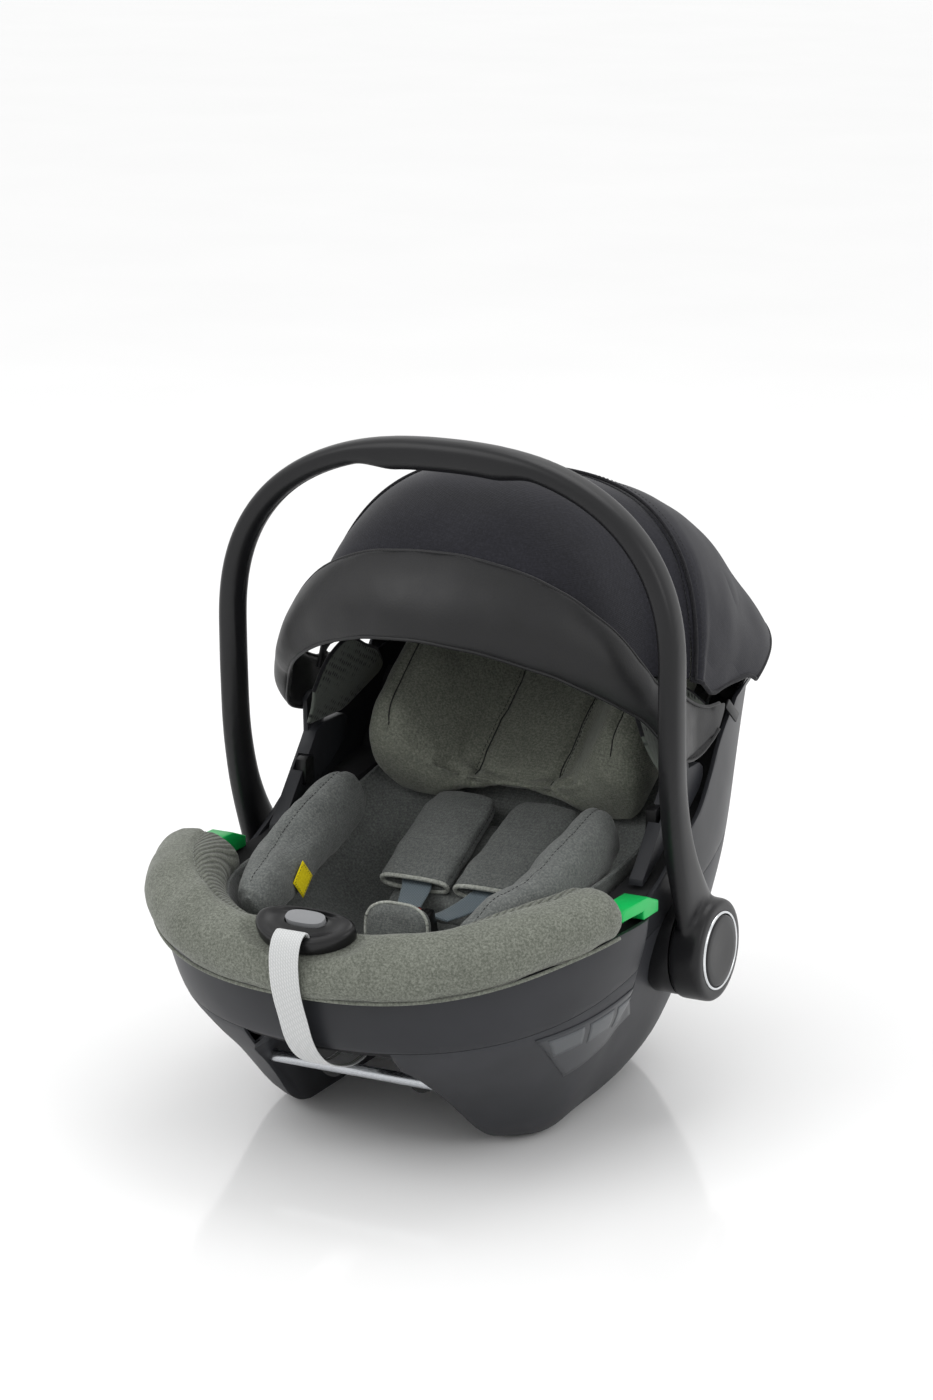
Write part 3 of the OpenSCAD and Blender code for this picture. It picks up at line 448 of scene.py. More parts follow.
def cordTube(name, path, radius, material, sides=10, closed=False, flat=1.0):  # piping or hem along a path
    p = np.asarray(path, float)
    ahead = np.roll(p, -1, 0) - np.roll(p, 1, 0) if closed else np.gradient(p, axis=0)
    ahead /= np.linalg.norm(ahead, axis=1)[:, None] + 1e-9
    side = np.cross(ahead, [0, 0, 1.0])
    weak = np.linalg.norm(side, axis=1) < 0.2
    side[weak] = np.cross(ahead[weak], [0, 1.0, 0])
    side /= np.linalg.norm(side, axis=1)[:, None]
    up = np.cross(side, ahead)
    around = np.linspace(0, 2 * math.pi, sides, endpoint=False)
    rings = (p[:, None] + radius * (side[:, None] * np.cos(around)[None, :, None]
             + up[:, None] * np.sin(around)[None, :, None] * flat))
    if closed:
        m, n = rings.shape[:2]
        faces = [(i * n + j, i * n + (j + 1) % n, ((i + 1) % m) * n + (j + 1) % n, ((i + 1) % m) * n + j)
                 for i in range(m) for j in range(n)]
        return fixNormals(newPiece(name, rings.reshape(-1, 3), faces, material))
    return loftPiece(name, rings, material)


def boolean(piece, cutter, operation):  # leaves the cutter in place
    step = piece.modifiers.new("cut", "BOOLEAN")
    step.operation = operation
    step.object = cutter
    step.solver = "EXACT"
    return applyAll(piece)


def discard(*pieces):
    for piece in pieces:
        mesh = piece.data
        bpy.data.objects.remove(piece)
        bpy.data.meshes.remove(mesh)


def sidePrism(outline, x0, x1):  # side view outline pushed across the seat
    n = len(outline)
    points = [(x, y, z) for x in (x0, x1) for y, z in outline]
    faces = [tuple(range(n)), tuple(range(2 * n - 1, n - 1, -1))]
    faces += [(i, (i + 1) % n, n + (i + 1) % n, n + i) for i in range(n)]
    return fixNormals(newPiece("cutter", points, faces, sparkPolypropylene))


def discAcross(profile, centre, sides=72):  # profile of (x, radius) turned about an axis along X
    around = np.linspace(0, 2 * math.pi, sides, endpoint=False)
    rings = [np.stack([np.full(sides, x), centre[0] + r * np.cos(around), centre[1] + r * np.sin(around)], 1)
             for x, r in profile]
    return loftPiece("disc", rings, satinNylon)


def softEdges(piece, width, angle=35, segments=3):  # rounds the sharp edges with a bevel modifier
    bevel = piece.modifiers.new("roundedEdges", "BEVEL")
    bevel.width = width * mm
    bevel.segments = segments
    bevel.limit_method = "ANGLE"
    bevel.angle_limit = math.radians(angle)
    bevel.harden_normals = False
    bevel.use_clamp_overlap = True
    return piece


def creaseShade(piece, angle=32):
    piece.data.shade_smooth()
    piece.data.set_sharp_from_angle(angle=math.radians(angle))
    return piece


def finishNode(name, material, width=0.0, angle=35):  # material and rounded edges for a kept CAD node
    node = bpy.data.objects[name]
    node.data.materials.clear()
    node.data.materials.append(material)
    if width:
        weld = node.modifiers.new("weld", "WELD")
        weld.merge_threshold = 0.00002
        softEdges(node, width, angle)
    node.data.shade_smooth()
    node.data.set_sharp_from_angle(angle=math.radians(30))
    return node


def points(piece):
    co = np.zeros(len(piece.data.vertices) * 3)
    piece.data.vertices.foreach_get("co", co)
    return co.reshape(-1, 3)


def setPoints(piece, co):
    piece.data.vertices.foreach_set("co", np.asarray(co, float).ravel())
    piece.data.update()
    return piece


def normals(piece):
    no = np.zeros(len(piece.data.vertices) * 3)
    piece.data.vertex_normals.foreach_get("vector", no)
    return no.reshape(-1, 3)


def pressSeam(piece, path, depth, width):  # pulls the cloth in along a sewn line
    tree = KDTree(len(path))
    for i, p in enumerate(place(path)):
        tree.insert(Vector(p), i)
    tree.balance()
    co, no = points(piece), normals(piece)
    far = np.array([tree.find(Vector(p))[2] for p in co]) / (width * mm)
    return setPoints(piece, co - no * (depth * mm * np.exp(-far * far))[:, None])


def ripple(piece, height, size, seed, keep=None):  # small uneven hollows of stuffed cloth
    co, no = points(piece), normals(piece)
    shift = Vector((seed * 7.3, seed * 3.1, seed * 5.7))
    lift = np.array([noise.fractal(Vector(p) / (size * mm) + shift, 1.0, 2.0, 2) for p in co])
    if keep is not None:
        lift = lift * keep(co)
    return setPoints(piece, co + no * (lift * height * mm)[:, None])


def refine(piece, level=1):
    more = piece.modifiers.new("refine", "SUBSURF")
    more.levels = more.render_levels = level
    applyAll(piece)
    piece.data.shade_smooth()
    return piece


def inflate(piece, voxel, pressure, cap, frames=20):  # stuffs a closed shell with cloth pressure
    remesh = piece.modifiers.new("evenMesh", "REMESH")
    remesh.mode = "VOXEL"
    remesh.voxel_size = voxel * mm
    applyAll(piece)
    before = points(piece)
    cloth = piece.modifiers.new("stuffing", "CLOTH")
    cloth.settings.use_pressure = True
    cloth.settings.uniform_pressure_force = pressure
    cloth.settings.effector_weights.gravity = 0
    cloth.settings.quality = 5
    cloth.settings.tension_stiffness = cloth.settings.compression_stiffness = 15
    cloth.settings.bending_stiffness = 0.5
    cloth.collision_settings.use_collision = False
    cloth.point_cache.frame_start, cloth.point_cache.frame_end = 1, frames
    scene = bpy.context.scene
    for f in range(1, frames + 1):
        scene.frame_set(f)
    applyAll(piece)
    scene.frame_set(1)
    move = points(piece) - before
    size = np.linalg.norm(move, axis=1)[:, None]
    setPoints(piece, before + move * np.minimum(1, cap * mm / np.maximum(size, 1e-9)))
    relax = piece.modifiers.new("relax", "SMOOTH")
    relax.factor, relax.iterations = 0.5, 4
    applyAll(piece)
    return refine(piece)


def stitches(name, path, length, gap, radius, material):  # a row of short thread stitches
    p = np.asarray(path, float)
    run = np.concatenate([[0], np.cumsum(np.linalg.norm(np.diff(p, axis=0), axis=1))])
    at = np.arange(gap, run[-1] - length, length + gap)
    allPoints, faces = [], []
    for s in at:
        a, b = (np.array([np.interp(q, run, p[:, k]) for k in range(3)]) for q in (s, s + length))
        d = (b - a) / (np.linalg.norm(b - a) + 1e-9)
        u = np.cross(d, [0.3, 0.2, 1.0])
        u /= np.linalg.norm(u)
        v = np.cross(d, u)
        base = len(allPoints)
        for f, r in ((0.0, 0.35), (0.2, 1.0), (0.8, 1.0), (1.0, 0.35)):
            for k in range(5):
                w = 2 * math.pi * k / 5
                allPoints.append(a + (b - a) * f + radius * r * (u * math.cos(w) + v * math.sin(w)))
        for i in range(3):
            for k in range(5):
                q = (k + 1) % 5
                faces.append((base + i * 5 + k, base + i * 5 + q, base + (i + 1) * 5 + q, base + (i + 1) * 5 + k))
        faces.append(tuple(base + k for k in (4, 3, 2, 1, 0)))
        faces.append(tuple(base + 15 + k for k in range(5)))
    return fixNormals(newPiece(name, np.array(allPoints), faces, material))


def onSurface(piece, path, lift):  # drops a path onto a piece, then lifts it a little
    from mathutils.bvhtree import BVHTree
    tree = BVHTree.FromObject(piece, bpy.context.evaluated_depsgraph_get())
    out = []
    for p in place(path):
        hit, normal, _, _ = tree.find_nearest(Vector(p))
        out.append(hit + normal * lift * mm)
    return np.array([tuple(h) for h in out]) / mm - np.array([0.0, hubShift, 0.0])


def settle(piece, body, slot, *nodes):  # one piece takes its place on a body
    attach(piece, body)
    if nodes:
        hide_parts(*nodes)
    return piece


def flipped(path):  # the same path on the other side of the seat
    return np.asarray(path, float) * np.array([-1.0, 1.0, 1.0])


print("helpers ready")


# ---- bucket shells ----
shellSizes = {"wall": 3.5, "gap": 0.5, "hubZ": 137.0, "edge": 1.1}
footY = smoothTable([(0, -150), (3, -163), (9, -178), (20, -194), (38, -212), (62, -238), (92, -274), (120, -297),
                     (150, -309), (185, -316), (352, -322)])
headY = smoothTable([(0, 110), (3, 118), (9, 126), (20, 138), (38, 152), (62, 168), (92, 186), (120, 202), (150, 213),
                     (185, 226), (230, 240), (280, 259), (330, 281), (352, 291)])
footW = smoothTable([(0, 110), (3, 119), (9, 127), (20, 136), (38, 146), (62, 156), (92, 170), (120, 186), (150, 195),
                     (185, 203), (352, 208)])
headW = smoothTable([(0, 106), (3, 116), (9, 125), (20, 134), (38, 145), (62, 154), (92, 164), (120, 172), (150, 179),
                     (185, 184), (230, 186.5), (352, 187)])
rimLine = [(-400, 140), (-318, 160), (-200, 188), (-150, 192), (-80, 192), (-48, 202), (-10, 222), (10, 230), (35, 241),
           (60, 264), (80, 288), (100, 303), (122, 315), (160, 322), (200, 324), (400, 324)]
rimZ = smoothTable(rimLine)


def planHalf(yc, yf, yr, wf, wr, nf, nr, soft, footCount=44, headCount=54):
    t = np.radians(90 - 90 * np.linspace(0, 1, footCount + 1))
    foot = np.stack([wf * np.cos(t).clip(0) ** (2 / nf), yc - (yc - yf) * np.sin(t) ** (2 / nf)], 1)
    t = np.radians(90 * np.linspace(0, 1, headCount + 1)[1:] ** 2)
    y = yc + (yr - yc) * np.sin(t) ** (2 / nr)
    w = wr + (wf - wr) * (1 - ease((y - yc) / soft))
    return np.vstack([foot, np.stack([w * np.cos(t).clip(0) ** (2 / nr), y], 1)])


def ringFrom(half, z):
    mirror = half[-2:0:-1] * np.array([-1, 1])
    flat = np.vstack([half, mirror])
    return np.column_stack([flat, np.full(len(flat), z)])


def shellRing(z, g, zs):
    return ringFrom(planHalf(-110, footY(z) + g, headY(z) - g, footW(z) - g, headW(z) - g, 2.3, 3.3, 40), zs)


def bucket(g):  # the bucket's outside drawn in by g
    levels = np.concatenate([[0, 1.2, 3, 5, 7, 9], np.arange(12, 352, 8.0), [352]])
    return loftPiece("bucket", [shellRing(z, g, max(g, 0) if z == 0 else max(z, g + z * 0.2)) for z in levels],
                     sparkPolypropylene)


def shellX(y, z, g=0.0):  # half width of the bucket at a side view point
    yf, yr, wf, wr = footY(z) + g, headY(z) - g, footW(z) - g, headW(z) - g
    if y < -110:
        return wf * max(0.0, 1 - ((-110 - y) / (-110 - yf)) ** 2.3) ** (1 / 2.3)
    w = wr + (wf - wr) * (1 - ease((y + 110) / 40))
    return w * max(0.0, 1 - ((y + 110) / (yr + 110)) ** 3.3) ** (1 / 3.3)


def tunnelPrism(g):
    outline = [(-99 - g, -40), (-74 - g, 84), (-60, 100 + g), (60, 100 + g), (74 + g, 84), (99 + g, -40)]
    pts = [(x, y, z) for y in (-450, 450) for x, z in outline]
    n = len(outline)
    faces = [tuple(range(n)), tuple(range(2 * n - 1, n - 1, -1))] + [(i, (i + 1) % n, n + (i + 1) % n, n + i) for i in range(n)]
    return fixNormals(newPiece("cutter", pts, faces, sparkPolypropylene))


def makeShells():
    wall, gap = shellSizes["wall"], shellSizes["gap"]
    outer, inner = bucket(0), bucket(wall)
    innerLow = inner.copy()
    innerLow.data = inner.data.copy()
    bpy.context.scene.collection.objects.link(innerLow)
    wide = tunnelPrism(wall)
    boolean(innerLow, wide, "DIFFERENCE")
    lower = outer.copy()
    lower.data = outer.data.copy()
    bpy.context.scene.collection.objects.link(lower)
    lower.name = lower.data.name = "lowerShellMoulding"
    below = sidePrism([(-400, 90 - gap / 2), (400, 250 - gap / 2), (400, -60), (-400, -60)], -260, 260)
    tunnel = tunnelPrism(0)
    notch = sidePrism([(-400, 60), (-262, 96), (-262, 140), (-400, 140)], -66, 66)
    pin = discAcross([(-200, 12.1), (200, 12.1)], (0, shellSizes["hubZ"]))
    bars = [discAcross([(-92, 5.05), (92, 5.05)], (y, 67)) for y in (-218, 92)]
    boolean(lower, below, "INTERSECT")
    for cutter in (innerLow, tunnel, notch, pin, *bars):
        boolean(lower, cutter, "DIFFERENCE")
    band = outer
    band.name = band.data.name = "bandMoulding"
    above = sidePrism([(-400, 90 + gap / 2), (400, 250 + gap / 2), (400, 520), (-400, 520)], -260, 260)
    ys = np.concatenate([[-400], np.arange(-330, 300, 6.0), [400]])
    rim = sidePrism([(y, float(rimZ(y))) for y in ys] + [(400, -60), (-400, -60)], -260, 260)
    for cutter in (above, rim):
        boolean(band, cutter, "INTERSECT")
    for cutter in (inner, pin):
        boolean(band, cutter, "DIFFERENCE")
    band.data.materials.clear()
    band.data.materials.append(bandPolypropylene)
    discard(inner, innerLow, wide, below, tunnel, notch, pin, above, rim, *bars)
    for shell, slot, node in ((lower, "shell_plastic", "lower_shell"), (band, "band_plastic", "upper_shell")):
        softEdges(shell, shellSizes["edge"], 40, 2)
        applyAll(shell)
        creaseShade(shell)
        settle(shell, "seat", slot, node)


makeShells()
print("shells made")


def lipRing(z, g, n):
    return ringFrom(planHalf(-110, -300, headY(324) - 1.75 + g, 187, 185.25 + min(g, 3.6), 2.3, n, 40), z)


def makeLip():  # flared collar round the head end
    steps = np.linspace(300, 350, 18)
    out = smoothTable([(300, 2.2), (316, 2.4), (326, 6), (336, 11), (350, 16)])
    bulge = smoothTable([(300, 3.3), (316, 3.3), (326, 3.6), (336, 4), (350, 4.3)])
    collar = loftPiece("rearLipMoulding", [lipRing(z, out(z), bulge(z)) for z in steps], bandPolypropylene)
    hollow = loftPiece("cutter", [lipRing(z + (2 if z == 350 else -4 if z == 300 else 0), out(z) - 3.6, bulge(z))
                                  for z in steps], bandPolypropylene)
    outline = [(112, 309.6), (122, 315.2), (140, 319.6), (160, 322.2), (200, 324.2), (340, 324.2), (340, 347), (240, 347),
               (200, 344), (160, 336), (142, 330), (130, 324)]
    keep = sidePrism(outline, -260, 260)
    boolean(collar, keep, "INTERSECT")
    boolean(collar, hollow, "DIFFERENCE")
    discard(hollow, keep)
    softEdges(collar, 1.0, 40, 2)
    applyAll(collar)
    creaseShade(collar)
    settle(collar, "seat", "band_plastic", "rear_lip")


makeLip()

# ---- carry handle ----
handleSizes = {"boss": 43.0, "inner": 191.0, "outer": 219.0, "tubeWidth": 19.0, "tubeDepth": 28.0, "disc": 30.0}


def handleRing(c, a, b, w, d, count=28):
    t = np.linspace(0, 2 * math.pi, count, endpoint=False)
    return (np.asarray(c) + np.asarray(a) * (w / 2) * power(np.cos(t), 0.72)[:, None]
            + np.asarray(b) * (d / 2) * power(np.sin(t), 0.72)[:, None])


def makeHandle():
    legTable = np.array([(4, 148, 16, 76), (-6, 163, 16, 68), (-17, 180, 17, 58), (-29, 200, 18, 48), (-42, 225, 19, 38),
                         (-52, 252, 19, 32), (-60, 290, 19, 28.5), (-63, 335, 19, 28), (-64, 380, 19, 28)], float)
    leg = spline(legTable, 44)
    right = [handleRing((202, y, z), (1, 0, 0), (0, 1, 0), w, d) for y, z, w, d in leg]
    left = [handleRing((-202, y, z), (-1, 0, 0), (0, 1, 0), w, d) for y, z, w, d in leg[::-1]]
    arcAngle = np.radians(np.linspace(0, 180, 121)[1:-1])
    x = 202 * power(np.cos(arcAngle), 2 / 2.4)
    z = 380 + 165 * np.sin(arcAngle) ** (2 / 2.4)
    centre = spline(np.column_stack([x, np.full_like(x, -64), z]), 120)
    ahead = np.gradient(centre, axis=0)
    ahead /= np.linalg.norm(ahead, axis=1)[:, None]
    arch = []
    for c, d in zip(centre, ahead):
        out = np.array([d[2], 0, -d[0]])
        swell = 8 * (1 - ease((abs(c[0]) - 46) / 40))  # fuller grip along the middle
        arch.append(handleRing(c - out * swell / 2, out, (0, 1, 0), 19 + swell, 28))
    tube = loftPiece("carryHandle", right + arch + left, satinNylon)
    for s in (1, -1):
        boss = discAcross([(s * 191, 40), (s * 191.4, 42), (s * 193, 43), (s * 215, 43), (s * 217.6, 42.2), (s * 219, 40)],
                          (0, 137))
        boolean(tube, boss, "UNION")
        discard(boss)
    even = tube.modifiers.new("evenMesh", "REMESH")
    even.mode = "VOXEL"
    even.voxel_size = 2.0 * mm
    blendIn = tube.modifiers.new("filletPasses", "SMOOTH")
    blendIn.factor, blendIn.iterations = 0.5, 9
    applyAll(tube)
    for s in (1, -1):
        bore = discAcross([(s * 188, 12.06), (s * 208.5, 12.06)], (0, 137))
        well = discAcross([(s * 212, 30.6), (s * 224, 30.6)], (0, 137))
        seat = discAcross([(s * 216.8, 33.4), (s * 224, 33.4)], (0, 137))
        for cutter in (bore, well, seat):
            boolean(tube, cutter, "DIFFERENCE")
        discard(bore, well, seat)
    creaseShade(tube, 38)
    settle(tube, "handle", "black_plastic", "handle_arch")
    seam = []  # fine moulding line down the middle of the inside of the arch
    for c, d in zip(centre[2:-2], ahead[2:-2]):
        out = np.array([d[2], 0, -d[0]])
        seam.append(c - out * (8 * (1 - ease((abs(c[0]) - 46) / 40)) + 9.4))
    line = cordTube("handleMouldLine", seam, 0.45, satinNylon, 6)
    settle(line, "handle", "black_plastic")
    for s, side in ((1, "right"), (-1, "left")):
        profile = [(s * 217.3, 33), (s * 219.4, 33), (s * 220.2, 32.4), (s * 220.4, 31.8), (s * 220.2, 31.0), (s * 219.6, 30.6),
                   (s * 217.3, 30.6)]
        around = np.linspace(0, 2 * math.pi, 96, endpoint=False)
        rings = [np.stack([np.full(96, x), r * np.cos(around), 137 + r * np.sin(around)], 1) for x, r in profile]
        n = len(rings)
        pts = np.vstack(rings)
        faces = [(i * 96 + j, i * 96 + (j + 1) % 96, ((i + 1) % n) * 96 + (j + 1) % 96, ((i + 1) % n) * 96 + j)
                 for i in range(n) for j in range(96)]
        ring = fixNormals(newPiece("chromeRing." + side, pts, faces, chromePlatedAbs))
        creaseShade(ring, 50)
        settle(ring, "handle", "chrome", "handle_ring_" + side)
        cap = discAcross([(s * 215.9, 29.9), (s * 219.6, 29.9), (s * 220.5, 29.2), (s * 220.9, 27.8), (s * 221.0, 22),
                          (s * 220.7, 12), (s * 220.5, 2)], (0, 137), 96)
        cap.name = cap.data.name = "handlePushDisc." + side
        cap.data.materials.clear()
        cap.data.materials.append(satinNylon)
        creaseShade(cap, 50)
        settle(cap, "handle_press_" + side, "black_plastic", "handle_button_" + side)


makeHandle()
print("handle made")

# ---- kept hard parts ----
for nodeName, material, width in (
        ("foam_liner", beadFoam, 0), ("front_bar", zincPlatedSteel, 0), ("rear_bar", zincPlatedSteel, 0),
        ("hook_tabs", blackAbs, 1.6), ("shell_screws", zincPlatedSteel, 0.3),
        ("belt_guide_left", greenPolypropylene, 1.4), ("belt_guide_right", greenPolypropylene, 1.4),
        ("hub_mount_left", satinNylon, 1.2), ("hub_mount_right", satinNylon, 1.2),
        ("side_trim_left", bandPolypropylene, 2.6), ("side_trim_right", bandPolypropylene, 2.6),
        ("release_button_left", blackAbs, 1.4), ("release_button_right", blackAbs, 1.4),
        ("adjuster_button", greyAbs, 1.6), ("buckle_body", blackAbs, 2.0), ("buckle_button", redAbs, 1.6),
        ("headrest_shell", blackAbs, 1.0), ("canopy_bow", satinNylon, 0),
        ("canopy_strut_left", satinNylon, 0.6), ("canopy_strut_right", satinNylon, 0.6)):
    finishNode(nodeName, material, width)
print("hard parts finished")


# ---- label plate on the lower shell ----
def shellPatch(corners, lift, name, material, across=24, along=14, thickness=0.4):
    a, b, c, d = (np.array(p, float) for p in corners)  # side view corners in order round the patch
    grid = []
    for v in np.linspace(0, 1, along):
        low, high = a + (d - a) * v, b + (c - b) * v
        grid.append([(shellX(*p) + lift, p[0], p[1]) for p in (low + (high - low) * u for u in np.linspace(0, 1, across))])
    return clothSheet(name, grid, thickness, material)


labelPanels = {"sheet": ((-220, 119), (-88, 135), (-54, 90), (-155, 67)),
               "first": ((-207, 115), (-172, 119), (-158, 99), (-187, 95)),
               "second": ((-165, 119), (-134, 123), (-120, 100), (-150, 97)),
               "third": ((-127, 122), (-98, 126), (-84, 102), (-113, 99))}
label = shellPatch(labelPanels["sheet"], 0.45, "sideLabel", printedFilm)
settle(label, "seat", "label_film", "label_plate")
for key in ("first", "second", "third"):  # plain raised panels, no marks
    panel = shellPatch(labelPanels[key], 0.75, "sideLabelPanel." + key, printedFilmPale, 10, 8)
    settle(panel, "seat", "label_film")
print("label made")

# ---- canopy ----
canopySizes = {"pivotY": 15.0, "pivotZ": 297.0, "seam": 17.0, "cloth": 1.3, "hem": 1.9}
hoodRise = smoothTable([(-51, 160), (-40, 182), (-30, 197), (-15, 213), (0, 221), (20, 222), (30, 228), (40, 237), (50, 249),
                        (60, 261), (70, 273), (78, 281)])
hoodFull = smoothTable([(-32, 3), (0, 2.7), (20, 2.85), (40, 2.85), (60, 2.9), (70, 3.2), (78, 3.6)])
hoodSlim = smoothTable([(-32, 36), (-10, 33), (0, 29), (8, 18), (15, 6), (20, 0)])


def hoodPoint(a, t, w, g):  # point on the hood at lean angle a, t degrees round the arch
    p, n = hoodRise(a) - g, hoodFull(a)
    s = p * abs(math.sin(math.radians(t))) ** (2 / n)
    x = (w - g - hoodSlim(a)) * float(power(math.cos(math.radians(t)), 2 / n))
    lean = math.radians(a)
    return (x, canopySizes["pivotY"] + s * math.sin(lean), canopySizes["pivotZ"] + s * math.cos(lean))


def startAngle(a, low):
    return math.degrees(math.asin(min(1.0, (low / hoodRise(a)) ** (hoodFull(a) / 2))))


hoodLow = smoothTable([(16, 60), (28, 58), (40, 57), (50, 62), (60, 80), (68, 104), (74, 130), (78, 141)])


def archRow(a, w, g, low, count=96):
    t0 = startAngle(a, low)
    return spline([hoodPoint(a, t, w, g) for t in np.linspace(t0, 180 - t0, 120)], count)


def makeCanopy():
    front = np.array([archRow(a, 183.2, 4.0, 60) for a in np.linspace(-31, 16.8, 34)])
    sheet = clothSheet("canopyFrontPanel", front, canopySizes["cloth"], canopyJersey)
    sheet = refine(sheet)
    ripple(sheet, 1.0, 70, 3)
    settle(sheet, "canopy", "canopy_fabric", "canopy_front")
    backLeans = np.linspace(16.3, 77.5, 48)
    meet = ease((backLeans - 16.3) / 9)  # both cloths lie together at the bow
    rear = np.array([archRow(a, 183.6 + 2.4 * f, 3.6 - 3.4 * f, float(hoodLow(a))) for a, f in zip(backLeans, meet)])
    lean = ease((backLeans - 17) / 12) * ease((78 - backLeans) / 14)
    for i, strength in enumerate(lean):  # the cloth hangs in slightly between its sewn edges
        around = np.linspace(0, math.pi, rear.shape[1])
        pull = strength * (2.2 + 1.6 * np.sin(around * 5 + i * 0.12) * np.sin(around) ** 0.5)
        centre = np.array([0, canopySizes["pivotY"], canopySizes["pivotZ"]])
        away = rear[i] - centre
        away /= np.linalg.norm(away, axis=1)[:, None]
        rear[i] -= away * pull[:, None]
    back = clothSheet("canopyRearPanel", rear, canopySizes["cloth"], canopyJersey)
    back = refine(back)
    ripple(back, 1.4, 60, 5)
    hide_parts("canopy_rear")
    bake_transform(back)
    seam = archRow(17.0, 185.2, 1.4, 60, 160)
    piping = cordTube("canopyBowPiping", seam, 1.5, hemTape, 10)
    settle(piping, "canopy", "canopy_fabric")
    for k, a in enumerate((15.2, 19.0)):
        row = stitches("canopyBowStitch.%d" % k, archRow(a, 184.6 if k == 0 else 186, 2.6 if k == 0 else 0.4, 64, 160), 2.4, 1.6,
                       0.28, threadDark)
        settle(row, "canopy", "canopy_fabric")
    edge = [rear[i][0] for i in range(len(rear))]
    for s, name in ((1, "right"), (-1, "left")):
        low = np.array(edge) * np.array([s if edge[0][0] > 0 else -s, 1, 1])
        hem = cordTube("canopySideHem." + name, low, canopySizes["hem"], hemTape, 10, flat=1.0)
        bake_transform(hem)
    tail = cordTube("canopyRearHem", rear[-1], canopySizes["hem"], hemTape, 10)
    settle(tail, "seat", "canopy_fabric")


makeCanopy()
print("canopy made")

# ---- padded visor ----
visorSizes = {"swell": 11.0, "depth": 9.0, "piping": 1.5}


def visorTop(t):
    s = 196 * math.sin(math.radians(t)) ** (2 / 2.3)
    return np.array([180 * float(power(math.cos(math.radians(t)), 2 / 2.3)), 15 - 0.5 * s, 297 + 0.866 * s])


def visorLow(t):
    s = 160 * math.sin(math.radians(t)) ** (2 / 1.9)
    return np.array([176 * float(power(math.cos(math.radians(t)), 2 / 1.9)), 5 - 0.777 * s, 297 + 0.629 * s])


def makeVisor():
    ear = [((186.2, 76, 319.5), (186.2, 76, 325)), ((185.8, 66, 305), (185.8, 66, 327)), ((184.2, 48, 293), (184.2, 46, 330)),
           ((182, 28, 287), (182, 24, 338)), ((180.8, 6, 289), (180.4, 4, 349)), ((178.8, -14, 301), (180, -10, 357))]
    turn = np.linspace(20, 160, 41)
    lows = [e[0] for e in ear] + [visorLow(t) for t in turn] + [(-e[0][0], *e[0][1:]) for e in ear[::-1]]
    tops = [e[1] for e in ear] + [visorTop(t) for t in turn] + [(-e[1][0], *e[1][1:]) for e in ear[::-1]]
    both = spline(np.hstack([np.array(lows, float), np.array(tops, float)]), 190)
    low, top = both[:, :3], both[:, 3:]
    m = len(low)
    near = np.minimum(np.arange(m), m - 1 - np.arange(m)) / m * 53.0
    pad = ease((near - 4.0) / 4.0)
    rings = []
    for i in range(m):
        middle = (low[i] + top[i]) / 2
        flat = np.array([np.sign(middle[0]), 0, 0])
        crown = middle - np.array([middle[0] * 0.3, 60, 335])
        crown /= np.linalg.norm(crown)
        out = flat * (1 - pad[i]) + crown * pad[i]
        out /= np.linalg.norm(out)
        swell, depth = visorSizes["swell"] * pad[i], 3.4 + (visorSizes["depth"] - 3.4) * pad[i]
        ring = []
        for u in np.linspace(0, 1, 17):
            body = swell * 4 * u * (1 - u) * (1.22 - 0.44 * u)
            ring.append(low[i] + (top[i] - low[i]) * u + out * (body + 0.6))
        for u in np.linspace(1, 0, 17)[1:-1]:
            body = swell * 4 * u * (1 - u) * (1.22 - 0.44 * u)
            ring.append(low[i] + (top[i] - low[i]) * u + out * (body - depth * min(1, 6 * u * (1 - u) + 0.25)))
        rings.append(ring)
    visor = loftPiece("paddedVisor", rings, padLeatherette)
    visor = refine(visor)
    inner = lambda f: low + (top - low) * f
    for f in (0.06, 0.94):
        line = onSurface(visor, inner(f)[8:-8], 0.0)
        pressSeam(visor, line, 1.6, 3.0)
    ripple(visor, 1.3, 48, 9)
    settle(visor, "canopy", "visor_leatherette", "visor")
    for name, path in (("upper", top), ("lower", low)):
        path = onSurface(visor, path[3:-3], 0.3)
        path = np.array([path[max(0, i - 2):i + 3].mean(0) for i in range(len(path))])
        edge = cordTube("visorPiping." + name, path, visorSizes["piping"], padLeatherette, 10)
        settle(edge, "canopy", "visor_leatherette")
    for k, f in enumerate((0.075, 0.925)):
        rows = stitches("visorStitch.%d" % k, onSurface(visor, inner(f)[10:-10], 0.15), 3.0, 1.6, 0.3, threadDark)
        settle(rows, "canopy", "visor_leatherette")


makeVisor()
print("visor made")

# ---- rim cushion ----
rollSizes = {"noseY": -318.0, "side": 206.0, "fill": 0.65}
rollSection = [(-56, 4), (-36, 1.6), (-2, 0.2), (6, 3), (10.5, 13), (10, 26), (3, 38), (-11, 45), (-27, 44.5), (-43, 36),
               (-55, 25), (-60, 13)]


def rollPoint(t):
    return np.array([rollSizes["side"] * float(power(math.sin(math.radians(t)), 0.87)),
                     -110 - 208 * abs(math.cos(math.radians(t))) ** 0.87])


def rollFrame(t):
    a, b = rollPoint(t - 0.6), rollPoint(t + 0.6)
    d = (b - a) / np.linalg.norm(b - a)
    return rollPoint(t), np.array([d[1], -d[0]])


def rollRing(t, k, section):
    c, out = rollFrame(t)
    z0 = float(rimZ(c[1])) + 1.6
    droop = 1 - 0.14 * float(ease((c[1] + 260) / 90))
    return [(c[0] + out[0] * (q * k - 18 * (1 - k)), c[1] + out[1] * (q * k - 18 * (1 - k)),
             z0 + h * k * droop + (1 - k) * 20) for q, h in section]


